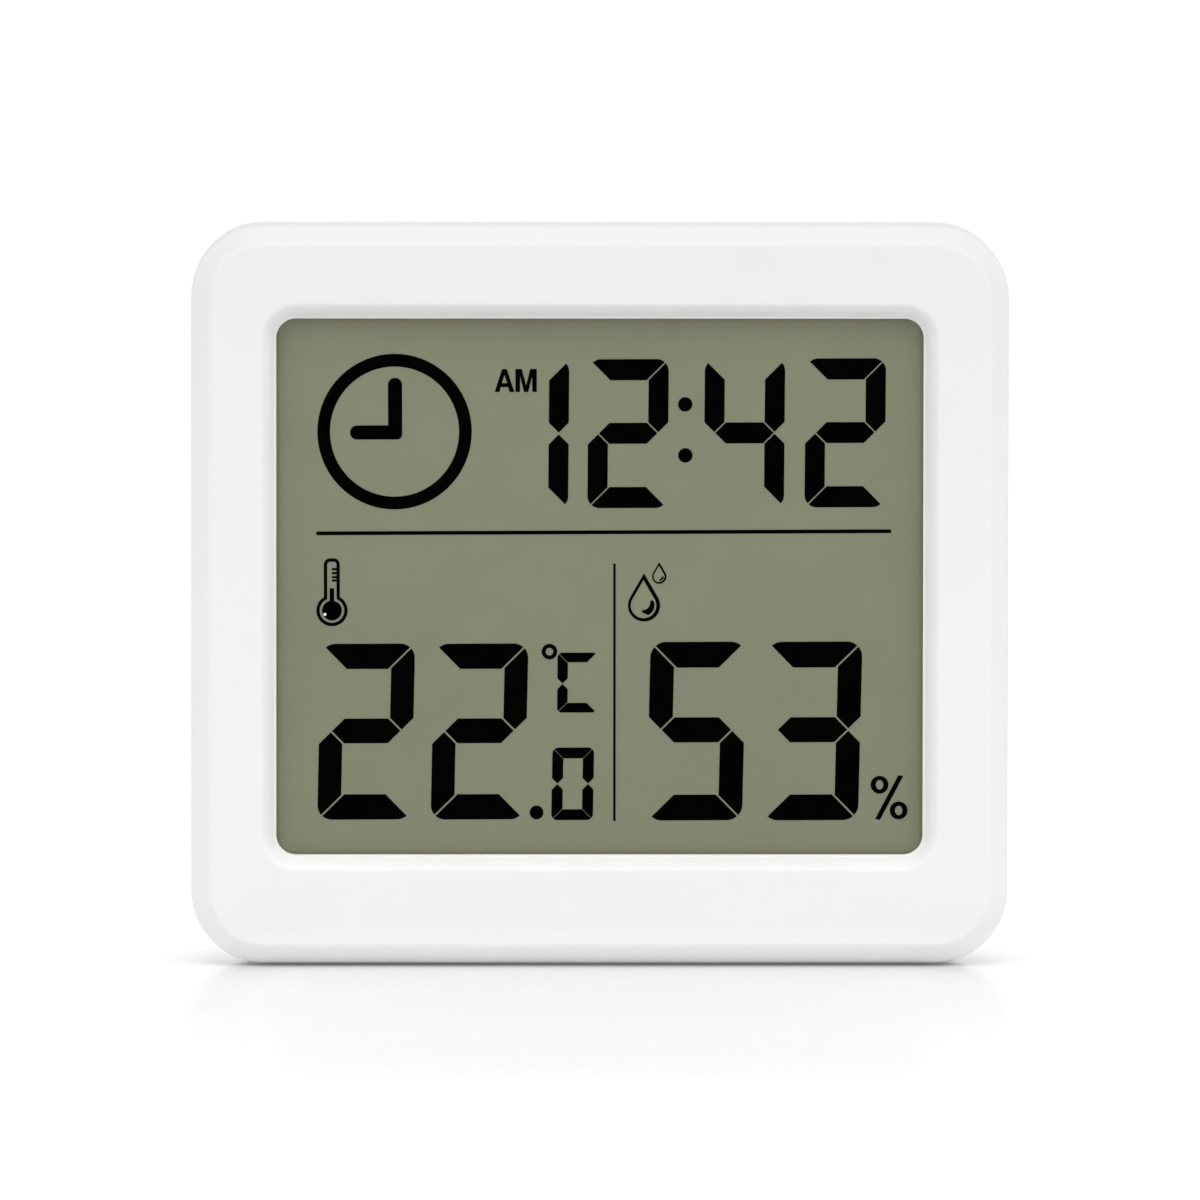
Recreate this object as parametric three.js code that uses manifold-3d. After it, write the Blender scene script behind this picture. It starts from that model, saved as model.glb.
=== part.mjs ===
// Table hygrometer with thermometer and clock: a slim two-piece moulded case that holds a
// reflective liquid crystal display, a circuit board, a coin cell under a bayonet door,
// two keys and a fold-out stand leg.
// Millimetres. +Z is up, the display faces -Y and X runs to the right as the display is read.
// The origin is under the middle of the case, on the surface that the case stands on.

import * as THREE from 'three';
import { mergeVertices } from 'three/addons/utils/BufferGeometryUtils.js';
import Module from 'manifold-3d';

const wasm = await Module();
wasm.setup();

// Clearances shared by every piece
const SEAT = 0.05; // between two pieces that rest on each other
const BOND = 0.02; // glue film between the display's layers
const SLIP = 0.1; // round a pin, screw or plunger in its hole
const PAST = 1; // how far a cutting solid runs past the face that it cuts

// Display window, with a slope all round it
const WINDOW_W = 62.5;
const WINDOW_H = 51.9;
const WINDOW_R = 1.9;
const BEVEL_W = 1.4;
const BEVEL_D = 1.6;
const BEVEL_BEND_W = 0.62; // the slope curves round this point and steepens inward
const BEVEL_BEND_D = 0.6;
const BEVEL_SOFT = 0.2; // how far its rounded upper edge reaches along each face
const WINDOW_LIP = 0.14; // narrow flat at the foot of the slope
const WINDOW_LAND = 0.8; // straight edge between that flat and the glass
const RIM_W = 2.5; // seat for the glass, round the back of the window

// Case mouldings
const WALL = 1.8;
const FRONT_WALL = 1.8;
const REAR_WALL = 1.5;
const CORNER_R = 7;
const CHAMFER_W = 1.8;
const CHAMFER_D = 1.8;
const REAR_CHAMFER = 1.2;
const EDGE_SOFT = 0.35; // how far a rounded edge reaches along each face
const FRONT_SHELL_D = 7; // from the front face back to the joint between the shells
const SEAM_GAP = 0.1;
const SEAM_BREAK = 0.2; // small chamfer along the joint
const LIP_T = 0.6; // tongue of the rear cover inside the front case
const LIP_H = 1;
const LIP_GAP = 0.1;
const LIP_ROOT = 1; // thickened wall behind the tongue

// Display glass and films
const GLASS_T = 0.7;
const GLASS_OVERLAP = 1.6; // glass hidden behind the window's edge
const GLASS_OVERLAP_TOP = 1.9;
const GLASS_R = 0.4;
const LEDGE = 1.8; // contact ledge of the front glass, below the rear glass
const FILM_INSET = 0.5;
const POLARISER_T = 0.18;
const REFLECTOR_T = 0.22;
const ZEBRA_W = 58;
const ZEBRA_H = 2;
const ZEBRA_INSET = 0.2;
const FOAM_W = 56;
const FOAM_BAND = 3;
const FOAM_INSET = 1;
const RIB_T = 0.6; // short ribs that centre the glass
const RIB_L = 7;
const RIB_GAP = 0.2;
const RIB_PITCH_X = 36;
const RIB_PITCH_Z = 16;

// Circuit board and its screws
const BOARD_T = 1;
const BOARD_R = 1;
const BOARD_EDGE = 1.35; // board beyond its screws
const BOARD_SCREW_INSET = 11;
const BOARD_HEAD_D = 2.6;
const BOARD_HEAD_H = 0.9;
const BOARD_SHANK_D = 1.4;
const BOARD_SCREW_L = 3.6;
const POST_D = 3;
const POST_WALL_GAP = 0.35;

// Case screws, their bosses in the front case and their sleeves in the rear cover
const CASE_HEAD_D = 3.6;
const CASE_HEAD_H = 1.2;
const CASE_SHANK_D = 1.9;
const CASE_SCREW_L = 6;
const BOSS_D = 3.8;
const BOSS_WALL_GAP = 0.3;
const BOSS_GLASS_GAP = 0.5;
const BOSS_INSET = 8;
const HEAD_ROOM = 0.25; // round a screw head in its counterbore
const COUNTERBORE_D = 3;
const SLEEVE_WALL = 0.9;
const SLEEVE_FLOOR = 1.2;
const WEB_T = 1;
const SCREW_END_ROOM = 0.3;
const CROSS_REACH = 0.6; // length of a screw's cross recess, as a share of the head
const CROSS_WIDE = 0.2; // and the width of its arms
const CROSS_DEEP = 0.5; // and its depth, as a share of the head's height

// Coin cell, its holder, contacts and door
const CELL_D = 20;
const CELL_T = 3.2;
const CELL_CAP_D = 17.6; // negative cap
const CELL_CAP_H = 0.35;
const CELL_EDGE = 0.25;
const CELL_HEADROOM = 0.15;
const CONTACT_H = 0.6;
const CONTACT_T = 0.2;
const CONTACT_W = 4;
const CONTACT_L = 11;
const CONTACT_RUN = 0.8; // slope where the leaf rises to the cell
const HOLDER_GAP = 0.25;
const HOLDER_WALL = 1;
const HOLDER_NOTCH = 5;
const DOOR_LAP = 0.6; // disc of the door beyond the notches that it covers
const DOOR_T = 1.4;
const DOOR_FLUSH = 0.1;
const DOOR_GAP = 0.2;
const DOOR_BREAK = 0.25;
const DOOR_LEDGE_T = 0.8; // ledge under the disc, which the tabs hook behind
const COLLAR_WALL = 1;
const SKIRT_GAP = 0.4;
const SKIRT_T = 1;
const TAB_T = 0.8;
const TAB_REACH = 1.2; // tab hooked behind the ledge
const TAB_ANGLE = 30;
const TAB_COUNT = 3;
const TAB_FIRST = 60;
const TAB_GAP = 0.25;
const DOOR_TURN = 40;
const STOP_ANGLE = 6;
const STOP_GAP_ANGLE = 1.5;
const COIN_SLOT_L = 14;
const COIN_SLOT_W = 1.8;
const COIN_SLOT_D = 0.7;
const CELL_SCREW_GAP = 1.1; // between the positive contact's foot and a board screw
const CELL_DROP = 11.55; // from the top of the board down to the cell's centre
const BAY_GAP = 0.3; // between the stand's pocket and the door's collar

// Keys and the switches that they press
const BUTTON_D = 6;
const BUTTON_FLUSH = 0.1;
const BUTTON_CROWN = 0.25;
const BUTTON_GAP = 0.2;
const FLANGE_REACH = 0.9;
const FLANGE_T = 0.7;
const FLANGE_GAP = 0.15;
const STEM_D = 2.4;
const BUTTON_PITCH = 14;
const BUTTON_TRAVEL = 0.4;
const SWITCH_W = 5.2;
const SWITCH_H = 1.6;
const SWITCH_R = 0.5;
const PLUNGER_D = 2.8;
const PLUNGER_STANDS = 0.8; // above the switch body
const PLUNGER_SUNK = 0.7; // inside it

// Stand leg and the pocket that it folds into
const STAND_W = 22;
const STAND_T = 2.4;
const STAND_R = 3;
const STAND_TIP_Z = 1.6;
const STAND_FLUSH = 0.1;
const STAND_UNDER = 0.2;
const STAND_SIDE_GAP = 0.3;
const STAND_OPEN = 35;
const HEEL_L = 2.2; // leg above the pins, cut to stop on the pocket floor
const HEEL_GAP = 0.1;
const HEEL_ROOM = 0.2;
const NAIL_CATCH = 0.8;
const STAND_RIM = 1.8; // left round the hollow in the back of the leg
const STAND_SKIN = 1.1;
const STAND_RIB = 1.6;
const PIN_D = 1.2;
const PIN_L = 1.2;
const POCKET_WALL = 1.4;
const POCKET_FLOOR = 1.2;

// Wall-hanging keyhole and air slots
const KEYHOLE_HEAD_D = 7.2;
const KEYHOLE_SLOT_W = 3.6;
const KEYHOLE_RUN = 5.5;
const KEYHOLE_TOP = 8; // from the top of the case down to the nail's place
const VENT_COUNT = 5;
const VENT_L = 14;
const VENT_W = 1.2;
const VENT_PITCH = 2.6;
const VENT_Z = 13;
const CHAMBER_MARGIN = 1.2;
const CHAMBER_WALL = 0.9;
const CHAMBER_GAP = 0.3;
const CHAMBER_SCREW_GAP = 0.75; // between the wall round the air slots and a board screw

// Small parts on the board
const BLOB_D = 11;
const BLOB_H = 1.3;
const BLOB_X = 2;
const BLOB_Z = 22;
const CRYSTAL_D = 2;
const CRYSTAL_L = 6;
const CRYSTAL_X = -18;
const CRYSTAL_Z = 26;
const SENSOR_W = 3;
const SENSOR_H = 1;
const SENSOR_PORT_D = 1.2;
const SENSOR_PORT_DEEP = 0.5;
const SLOT_CUT_W = 0.8; // cut in the board that keeps its warmth from the sensor
const SLOT_CUT_L = 7;
const SLOT_CUT_OFF = 3;
const CAPACITOR_L = 2.4;
const CAPACITOR_W = 1.4;
const CAPACITOR_H = 1.1;
const CAPACITOR_R = 0.25;
const CAPACITOR_STEPS = [[5, -4], [11, -4], [49, 12]]; // from the lower left board screw

// Facets
const CORNER_STEPS = 12; // per quarter turn of a case corner
const SOFT_STEPS = 3; // across a rounded edge
const SLOPE_STEPS = 4; // down the window's slope
const DOME_STEPS = 6; // from the rim of the resin drop to its top
const PLATE_STEPS = 2; // two facets for each of these, on each arc of a plate's outline
const CHIP_STEPS = 1; // the same on the smallest parts
const BIG_ROUND = 48;
const ROUND = 20;
const SMALL_ROUND = 12;
const END_FLAT = 0.05; // half of the flat left at the end of a rounded slot

// Borders of the case round the window, from what lies between the glass and the outside
const LIP_ROOM = LIP_GAP + LIP_T;
const SIDE_BORDER = WALL + LIP_ROOM + POST_WALL_GAP + POST_D + RIB_GAP + RIB_T + GLASS_OVERLAP;
const BOSS_ROOM = WALL + LIP_ROOM + BOSS_WALL_GAP + BOSS_D + BOSS_GLASS_GAP;
const TOP_BORDER = BOSS_ROOM + GLASS_OVERLAP_TOP;
const BOTTOM_BORDER = BOSS_ROOM + GLASS_OVERLAP + LEDGE;
const CASE_W = WINDOW_W + 2 * SIDE_BORDER;
const CASE_H = BOTTOM_BORDER + WINDOW_H + TOP_BORDER;
const WINDOW_Z = BOTTOM_BORDER + WINDOW_H / 2;

// Depths behind the front face, each piece stacked on the one before it
const RIM_D = BEVEL_D + WINDOW_LAND;
const POLARISER_DEPTH = RIM_D + SEAT;
const FRONT_GLASS_DEPTH = POLARISER_DEPTH + POLARISER_T + BOND;
const REAR_GLASS_DEPTH = FRONT_GLASS_DEPTH + GLASS_T + BOND;
const REFLECTOR_DEPTH = REAR_GLASS_DEPTH + GLASS_T + BOND;
const ZEBRA_DEPTH = FRONT_GLASS_DEPTH + GLASS_T + SEAT;
const BOARD_DEPTH = ZEBRA_DEPTH + ZEBRA_H + SEAT;
const BOARD_REAR_DEPTH = BOARD_DEPTH + BOARD_T;
const CELL_DEPTH = BOARD_REAR_DEPTH + SEAT + CONTACT_H + SEAT;
const CASE_D = CELL_DEPTH + CELL_T + CELL_HEADROOM + DOOR_T + DOOR_FLUSH;
const FRONT_Y = -CASE_D / 2;
const REAR_Y = CASE_D / 2;
const INNER_REAR_Y = REAR_Y - REAR_WALL;
const JOINT_Y = FRONT_Y + FRONT_SHELL_D;
const BOARD_FRONT_Y = FRONT_Y + BOARD_DEPTH;
const BOARD_REAR_Y = FRONT_Y + BOARD_REAR_DEPTH;
const ON_BOARD_Y = BOARD_REAR_Y + SEAT;

// Edges of the display glass
const GLASS_HALF_W = WINDOW_W / 2 + GLASS_OVERLAP;
const GLASS_TOP = BOTTOM_BORDER + WINDOW_H + GLASS_OVERLAP_TOP;
const REAR_GLASS_BOTTOM = BOTTOM_BORDER - GLASS_OVERLAP;
const GLASS_BOTTOM = REAR_GLASS_BOTTOM - LEDGE;

// Places of the screws
const POST_X = CASE_W / 2 - WALL - LIP_ROOM - POST_WALL_GAP - POST_D / 2;
const POST_ZS = [GLASS_BOTTOM + BOARD_SCREW_INSET, GLASS_TOP - BOARD_SCREW_INSET];
const BOSS_X = CASE_W / 2 - BOSS_INSET;
const BOSS_EDGE = WALL + LIP_ROOM + BOSS_WALL_GAP + BOSS_D / 2;
const BOSS_ZS = [BOSS_EDGE, CASE_H - BOSS_EDGE];
const SIDES = [-1, 1];
const BORE_FLOOR_Y = REAR_Y - COUNTERBORE_D;
const SLEEVE_FRONT_Y = BORE_FLOOR_Y - SLEEVE_FLOOR;
const CASE_TIP_Y = BORE_FLOOR_Y + SEAT - CASE_SCREW_L;
const BOARD_TIP_Y = ON_BOARD_Y - BOARD_SCREW_L;

// Cell under the top of the board, with its door, and the keys across from it
const CELL_R = CELL_D / 2;
const SKIRT_OUTER_R = CELL_R + SKIRT_GAP + SKIRT_T;
const LEDGE_HOLE_R = SKIRT_OUTER_R + SLIP;
const TAB_R = LEDGE_HOLE_R + TAB_REACH;
const NOTCH_R = TAB_R + TAB_GAP;
const DOOR_R = NOTCH_R + DOOR_LAP;
const DOOR_RECESS_R = DOOR_R + DOOR_GAP;
const COLLAR_R = DOOR_RECESS_R + COLLAR_WALL;
const DOOR_INNER_Y = REAR_Y - DOOR_FLUSH - DOOR_T;
const DOOR_LEDGE_Y = DOOR_INNER_Y - SEAT;
const COLLAR_FRONT_Y = DOOR_LEDGE_Y - DOOR_LEDGE_T;
const TAB_REAR_Y = COLLAR_FRONT_Y - SLIP;
const SKIRT_END_Y = TAB_REAR_Y - TAB_T;
const SCREW_CLEAR_X = POST_X - BOARD_HEAD_D / 2;
const CONTACT_FOOT = CELL_R + HOLDER_GAP + HOLDER_WALL + CONTACT_W / 2;
const CELL_X = CONTACT_FOOT + CELL_SCREW_GAP - SCREW_CLEAR_X;
const CELL_Z = GLASS_TOP - CELL_DROP;
const BUTTON_X = -CELL_X;
const BUTTON_ZS = [CELL_Z + BUTTON_PITCH / 2, CELL_Z - BUTTON_PITCH / 2];

// Stand pocket in the room left below the door, the keyhole and the air slots
const HEEL_SWEEP = Math.hypot(HEEL_L, STAND_T / 2);
const POCKET_TOP = CELL_Z - COLLAR_R - BAY_GAP - POCKET_WALL;
const HINGE_Z = POCKET_TOP - HEEL_ROOM - HEEL_SWEEP;
const HINGE_Y = REAR_Y - STAND_FLUSH - STAND_T / 2;
const STAND_L = HINGE_Z - STAND_TIP_Z;
const POCKET_FLOOR_Y = REAR_Y - STAND_FLUSH - STAND_T - STAND_UNDER;
const POCKET_HALF_W = STAND_W / 2 + STAND_SIDE_GAP;
const KEYHOLE_Z = CASE_H - KEYHOLE_TOP;
const VENT_X = SCREW_CLEAR_X - CHAMBER_SCREW_GAP - CHAMBER_WALL - CHAMBER_MARGIN - VENT_L / 2;
const VENT_SPAN = (VENT_COUNT - 1) * VENT_PITCH + VENT_W;
const VENT_MID_Z = VENT_Z + VENT_SPAN / 2;

const radians = THREE.MathUtils.degToRad;

// A closed geometry as a solid that can be joined and cut
function solid(geometry) {
  const bare = geometry.clone();
  bare.deleteAttribute('normal');
  bare.deleteAttribute('uv');
  const merged = mergeVertices(bare);
  const index = merged.index.array;
  const triVerts = [];
  for (let i = 0; i < index.length; i += 3) {
    const [a, b, c] = index.slice(i, i + 3);
    if (a !== b && b !== c && c !== a) triVerts.push(a, b, c);
  }
  const vertProperties = merged.attributes.position.array;
  const mesh = new wasm.Mesh({ numProp: 3, vertProperties, triVerts: new Uint32Array(triVerts) });
  return new wasm.Manifold(mesh);
}

// The finished solid as a geometry
function geometryOf(body) {
  const mesh = body.getMesh();
  const geometry = new THREE.BufferGeometry();
  geometry.setAttribute('position', new THREE.BufferAttribute(mesh.vertProperties, 3));
  geometry.setIndex(new THREE.BufferAttribute(mesh.triVerts, 1));
  geometry.computeVertexNormals();
  return geometry;
}

const joined = (bodies) => bodies.reduce((whole, body) => whole.add(body));
const cut = (body, tools) => tools.reduce((rest, tool) => rest.subtract(tool), body);

// Rounded rectangle in the plane of the display, between two x and two z
function roundedRect(x0, x1, z0, z1, r) {
  const shape = new THREE.Shape();
  shape.absarc(x1 - r, z0 + r, r, -Math.PI / 2, 0);
  shape.absarc(x1 - r, z1 - r, r, 0, Math.PI / 2);
  shape.absarc(x0 + r, z1 - r, r, Math.PI / 2, Math.PI);
  shape.absarc(x0 + r, z0 + r, r, Math.PI, 1.5 * Math.PI);
  return shape;
}

// Part of a ring round the origin, between two radii and two angles
function ringSector(innerR, outerR, fromDeg, toDeg) {
  const shape = new THREE.Shape();
  shape.absarc(0, 0, outerR, radians(fromDeg), radians(toDeg), false);
  shape.absarc(0, 0, innerR, radians(toDeg), radians(fromDeg), true);
  return shape;
}

// A plate: an outline in the plane of the display, thickened from one y to another
function plate(shape, frontY, rearY, curveSegments = PLATE_STEPS) {
  const depth = rearY - frontY;
  const geometry = new THREE.ExtrudeGeometry(shape, { depth, bevelEnabled: false, curveSegments });
  return solid(geometry.rotateX(Math.PI / 2).translate(0, rearY, 0));
}

function block(x0, x1, y0, y1, z0, z1) {
  const box = new THREE.BoxGeometry(x1 - x0, y1 - y0, z1 - z0);
  return solid(box.translate((x0 + x1) / 2, (y0 + y1) / 2, (z0 + z1) / 2));
}

// A round bar along Y, the way the case is deep
function rod(r, y0, y1, x, z, sides = ROUND) {
  return solid(new THREE.CylinderGeometry(r, r, y1 - y0, sides).translate(x, (y0 + y1) / 2, z));
}

// A round bar along X, the way the stand's pins lie
function crossRod(r, x0, x1, y, z, sides = SMALL_ROUND) {
  const bar = new THREE.CylinderGeometry(r, r, x1 - x0, sides).rotateZ(Math.PI / 2);
  return solid(bar.translate((x0 + x1) / 2, y, z));
}

// A turned piece about Y: radius and y pairs that start and end on the axis
function turned(profile, sides = ROUND) {
  const points = profile.map(([r, y]) => new THREE.Vector2(r, y));
  return solid(new THREE.LatheGeometry(points, sides));
}

// A bar with one section in Y and Z all along X
function bar(shape, x0, x1) {
  const geometry = new THREE.ExtrudeGeometry(shape, { depth: x1 - x0, bevelEnabled: false });
  const axes = [new THREE.Vector3(0, 1, 0), new THREE.Vector3(0, 0, 1), new THREE.Vector3(1, 0, 0)];
  return solid(geometry.applyMatrix4(new THREE.Matrix4().makeBasis(...axes)).translate(x0, 0, 0));
}

function polygon(points) {
  return new THREE.Shape(points.map(([a, b]) => new THREE.Vector2(a, b)));
}

// Points along a curve from a to c that bends round b
function curve(a, b, c, steps) {
  const [from, at, to] = [a, b, c].map(([offset, depth]) => new THREE.Vector2(offset, depth));
  return new THREE.QuadraticBezierCurve(from, at, to).getPoints(steps).map((p) => [p.x, p.y]);
}

// Points that round the corner at b between a and c
function softCorner(a, b, c, reach = EDGE_SOFT) {
  const [from, at, to] = [a, b, c].map(([offset, depth]) => new THREE.Vector2(offset, depth));
  const start = at.clone().add(from.sub(at).setLength(reach));
  const end = at.clone().add(to.sub(at).setLength(reach));
  return curve(start.toArray(), b, end.toArray(), SOFT_STEPS);
}

// One rounded-rectangle section of a lofted shell
function section({ halfW, halfH, r, y, z }) {
  const points = [];
  for (const [quarter, sx, sz] of [[-1, 1, -1], [0, 1, 1], [1, -1, 1], [2, -1, -1]]) {
    for (let i = 0; i <= CORNER_STEPS; i += 1) {
      const angle = (quarter + i / CORNER_STEPS) * Math.PI / 2;
      const x = sx * (halfW - r) + r * Math.cos(angle);
      points.push(new THREE.Vector3(x, y, z + sz * (halfH - r) + r * Math.sin(angle)));
    }
  }
  return points;
}

// A closed solid through sections given from front to rear
function loft(sections) {
  const rings = sections.map(section);
  const count = rings[0].length;
  const middle = (ring) => ring.reduce((sum, p) => sum.add(p), new THREE.Vector3()).divideScalar(count);
  const corners = [];
  for (let i = 0; i < count; i += 1) {
    const next = (i + 1) % count;
    for (let k = 0; k + 1 < rings.length; k += 1) {
      const [front, rear] = [rings[k], rings[k + 1]];
      corners.push(front[i], rear[i], front[next], front[next], rear[i], rear[next]);
    }
    const [first, last] = [rings[0], rings.at(-1)];
    corners.push(middle(first), first[i], first[next], middle(last), last[next], last[i]);
  }
  return solid(new THREE.BufferGeometry().setFromPoints(corners));
}

// Section of the case: so far in from its outline, so deep behind its front face
function caseSection([offset, depth]) {
  const r = CORNER_R - offset;
  return { halfW: CASE_W / 2 - offset, halfH: CASE_H / 2 - offset, r, y: FRONT_Y + depth, z: CASE_H / 2 };
}

// Section round the window: so far out from its edge, so deep behind the front face
function windowSection([offset, depth]) {
  const r = WINDOW_R + offset;
  return { halfW: WINDOW_W / 2 + offset, halfH: WINDOW_H / 2 + offset, r, y: FRONT_Y + depth, z: WINDOW_Z };
}

// The four places of a screw that stands at each side and at two heights
const fourPlaces = (x, zs) => zs.flatMap((z) => SIDES.map((side) => [side * x, z]));

// Front case: chamfered shell with a sloped window, posts for the board and screw bosses
function frontCase() {
  const joint = FRONT_SHELL_D - SEAM_GAP / 2;
  const face = [CHAMFER_W + PAST, 0];
  const crest = [CHAMFER_W, 0];
  const shoulder = [0, CHAMFER_D];
  const outside = [
    ...softCorner(face, crest, shoulder),
    ...softCorner(crest, shoulder, [0, joint]),
    [0, joint - SEAM_BREAK],
    [SEAM_BREAK, joint],
  ];
  const hollow = loft([[WALL, FRONT_WALL], [WALL, joint + PAST]].map(caseSection));
  const shell = loft(outside.map(caseSection)).subtract(hollow);
  const rim = loft([[RIM_W, FRONT_WALL - SEAT], [RIM_W, RIM_D]].map(windowSection));
  const insideY = FRONT_Y + FRONT_WALL - SEAT;
  const webTop = JOINT_Y - LIP_H - LIP_GAP;
  const posts = fourPlaces(POST_X, POST_ZS).flatMap(([x, z]) => {
    const wallX = Math.sign(x) * (CASE_W / 2 - WALL / 2);
    const [x0, x1] = [x, wallX].sort((a, b) => a - b);
    const web = block(x0, x1, insideY, BOARD_FRONT_Y - SEAT - SLIP, z - WEB_T / 2, z + WEB_T / 2);
    return [rod(POST_D / 2, insideY, BOARD_FRONT_Y - SEAT, x, z), web];
  });
  const bosses = fourPlaces(BOSS_X, BOSS_ZS).flatMap(([x, z]) => {
    const wallZ = z < CASE_H / 2 ? WALL / 2 : CASE_H - WALL / 2;
    const [z0, z1] = [z, wallZ].sort((a, b) => a - b);
    const web = block(x - WEB_T / 2, x + WEB_T / 2, insideY, webTop, z0, z1);
    return [rod(BOSS_D / 2, insideY, SLEEVE_FRONT_Y - SEAT, x, z), web];
  });
  const bend = [BEVEL_BEND_W, BEVEL_BEND_D];
  const slopeTop = softCorner([BEVEL_W + PAST, 0], [BEVEL_W, 0], bend, BEVEL_SOFT);
  const slope = curve(slopeTop.at(-1), bend, [WINDOW_LIP, BEVEL_D], SLOPE_STEPS);
  const opening = [
    [BEVEL_W + BEVEL_SOFT, -PAST],
    ...slopeTop,
    ...slope.slice(1),
    [0, BEVEL_D],
    [0, RIM_D + PAST],
  ];
  const postHoles = fourPlaces(POST_X, POST_ZS).map(([x, z]) => rod(
    BOARD_SHANK_D / 2 + SLIP, BOARD_TIP_Y - SCREW_END_ROOM, BOARD_FRONT_Y + PAST, x, z, SMALL_ROUND));
  const bossHoles = fourPlaces(BOSS_X, BOSS_ZS).map(([x, z]) => rod(
    CASE_SHANK_D / 2 + SLIP, CASE_TIP_Y - SCREW_END_ROOM, SLEEVE_FRONT_Y + PAST, x, z, SMALL_ROUND));
  const window = loft(opening.map(windowSection));
  return cut(joined([shell, rim, ...posts, ...bosses, ...glassRibs()]), [window, ...postHoles, ...bossHoles]);
}

// Short ribs of the front case that centre the glass
function glassRibs() {
  const frontY = FRONT_Y + FRONT_WALL - SEAT;
  const rearY = FRONT_Y + REAR_GLASS_DEPTH + GLASS_T;
  const near = GLASS_HALF_W + RIB_GAP;
  const ribs = [];
  for (const side of SIDES) {
    const z = WINDOW_Z + side * RIB_PITCH_Z / 2;
    for (const x of [near, -near - RIB_T]) {
      ribs.push(block(x, x + RIB_T, frontY, rearY, z - RIB_L / 2, z + RIB_L / 2));
    }
    const x = side * RIB_PITCH_X / 2;
    for (const low of [GLASS_TOP + RIB_GAP, GLASS_BOTTOM - RIB_GAP - RIB_T]) {
      ribs.push(block(x - RIB_L / 2, x + RIB_L / 2, frontY, rearY, low, low + RIB_T));
    }
  }
  return ribs;
}

// Rear cover: shell with a tongue, screw sleeves, the stand's pocket and every rear opening
function rearCover() {
  const joint = FRONT_SHELL_D + SEAM_GAP / 2;
  const innerRear = CASE_D - REAR_WALL;
  const shoulder = [0, CASE_D - REAR_CHAMFER];
  const crest = [REAR_CHAMFER, CASE_D];
  const outside = [
    [SEAM_BREAK, joint],
    [0, joint + SEAM_BREAK],
    ...softCorner([0, joint], shoulder, crest),
    ...softCorner(shoulder, crest, [REAR_CHAMFER + PAST, CASE_D]),
  ];
  const root = joint + LIP_ROOT;
  const hollow = loft([[WALL, root], [WALL, innerRear]].map(caseSection));
  const lipEnd = joint - LIP_H;
  const mouth = loft([[WALL + LIP_ROOM, lipEnd - PAST], [WALL + LIP_ROOM, root + SEAT]].map(caseSection));
  const tongue = loft([[WALL + LIP_GAP, lipEnd], [WALL + LIP_GAP, joint + SEAT]].map(caseSection));
  const shell = cut(loft(outside.map(caseSection)).add(tongue), [hollow, mouth]);
  const sleeveR = CASE_HEAD_D / 2 + HEAD_ROOM + SLEEVE_WALL;
  const sleeves = fourPlaces(BOSS_X, BOSS_ZS).map(([x, z]) => rod(
    sleeveR, SLEEVE_FRONT_Y, INNER_REAR_Y + SEAT, x, z));
  const collar = rod(COLLAR_R, COLLAR_FRONT_Y, INNER_REAR_Y + SEAT, CELL_X, CELL_Z, BIG_ROUND);
  const added = [shell, ...sleeves, collar, pocketBox(), sensorChamber(), ...bayonetStops()];
  return cut(joined(added), [
    pocketCut(),
    ...fourPlaces(BOSS_X, BOSS_ZS).flatMap(([x, z]) => [
      rod(CASE_HEAD_D / 2 + HEAD_ROOM, BORE_FLOOR_Y, REAR_Y + PAST, x, z),
      rod(CASE_SHANK_D / 2 + SLIP, SLEEVE_FRONT_Y - PAST, BORE_FLOOR_Y + PAST, x, z, SMALL_ROUND),
    ]),
    doorOpening(),
    ...BUTTON_ZS.map((z) => rod(
      BUTTON_D / 2 + BUTTON_GAP, INNER_REAR_Y - PAST, REAR_Y + PAST, BUTTON_X, z)),
    keyhole(),
    ...airSlots(),
  ]);
}

// Walls and floor of the pocket that the stand folds into
function pocketBox() {
  const halfW = POCKET_HALF_W + POCKET_WALL;
  const top = POCKET_TOP + POCKET_WALL;
  return block(-halfW, halfW, POCKET_FLOOR_Y - POCKET_FLOOR, INNER_REAR_Y + SEAT, WALL / 2, top);
}

// Space of the pocket, open at the bottom edge, with the holes for the stand's pins
function pocketCut() {
  const space = block(-POCKET_HALF_W, POCKET_HALF_W, POCKET_FLOOR_Y, REAR_Y + PAST, -PAST, POCKET_TOP);
  const reach = POCKET_HALF_W + POCKET_WALL + PAST;
  return space.add(crossRod(PIN_D / 2 + SLIP, -reach, reach, HINGE_Y, HINGE_Z));
}

// Wall round the air slots that keeps room air on the sensor
function sensorChamber() {
  const [halfW, halfH] = [VENT_L / 2 + CHAMBER_MARGIN, VENT_SPAN / 2 + CHAMBER_MARGIN];
  const frame = (grow, frontY, rearY) => block(
    VENT_X - halfW - grow, VENT_X + halfW + grow, frontY, rearY,
    VENT_MID_Z - halfH - grow, VENT_MID_Z + halfH + grow);
  const frontY = BOARD_REAR_Y + CHAMBER_GAP;
  const outer = frame(CHAMBER_WALL, frontY, INNER_REAR_Y + SEAT);
  return outer.subtract(frame(0, frontY - PAST, INNER_REAR_Y));
}

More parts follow.
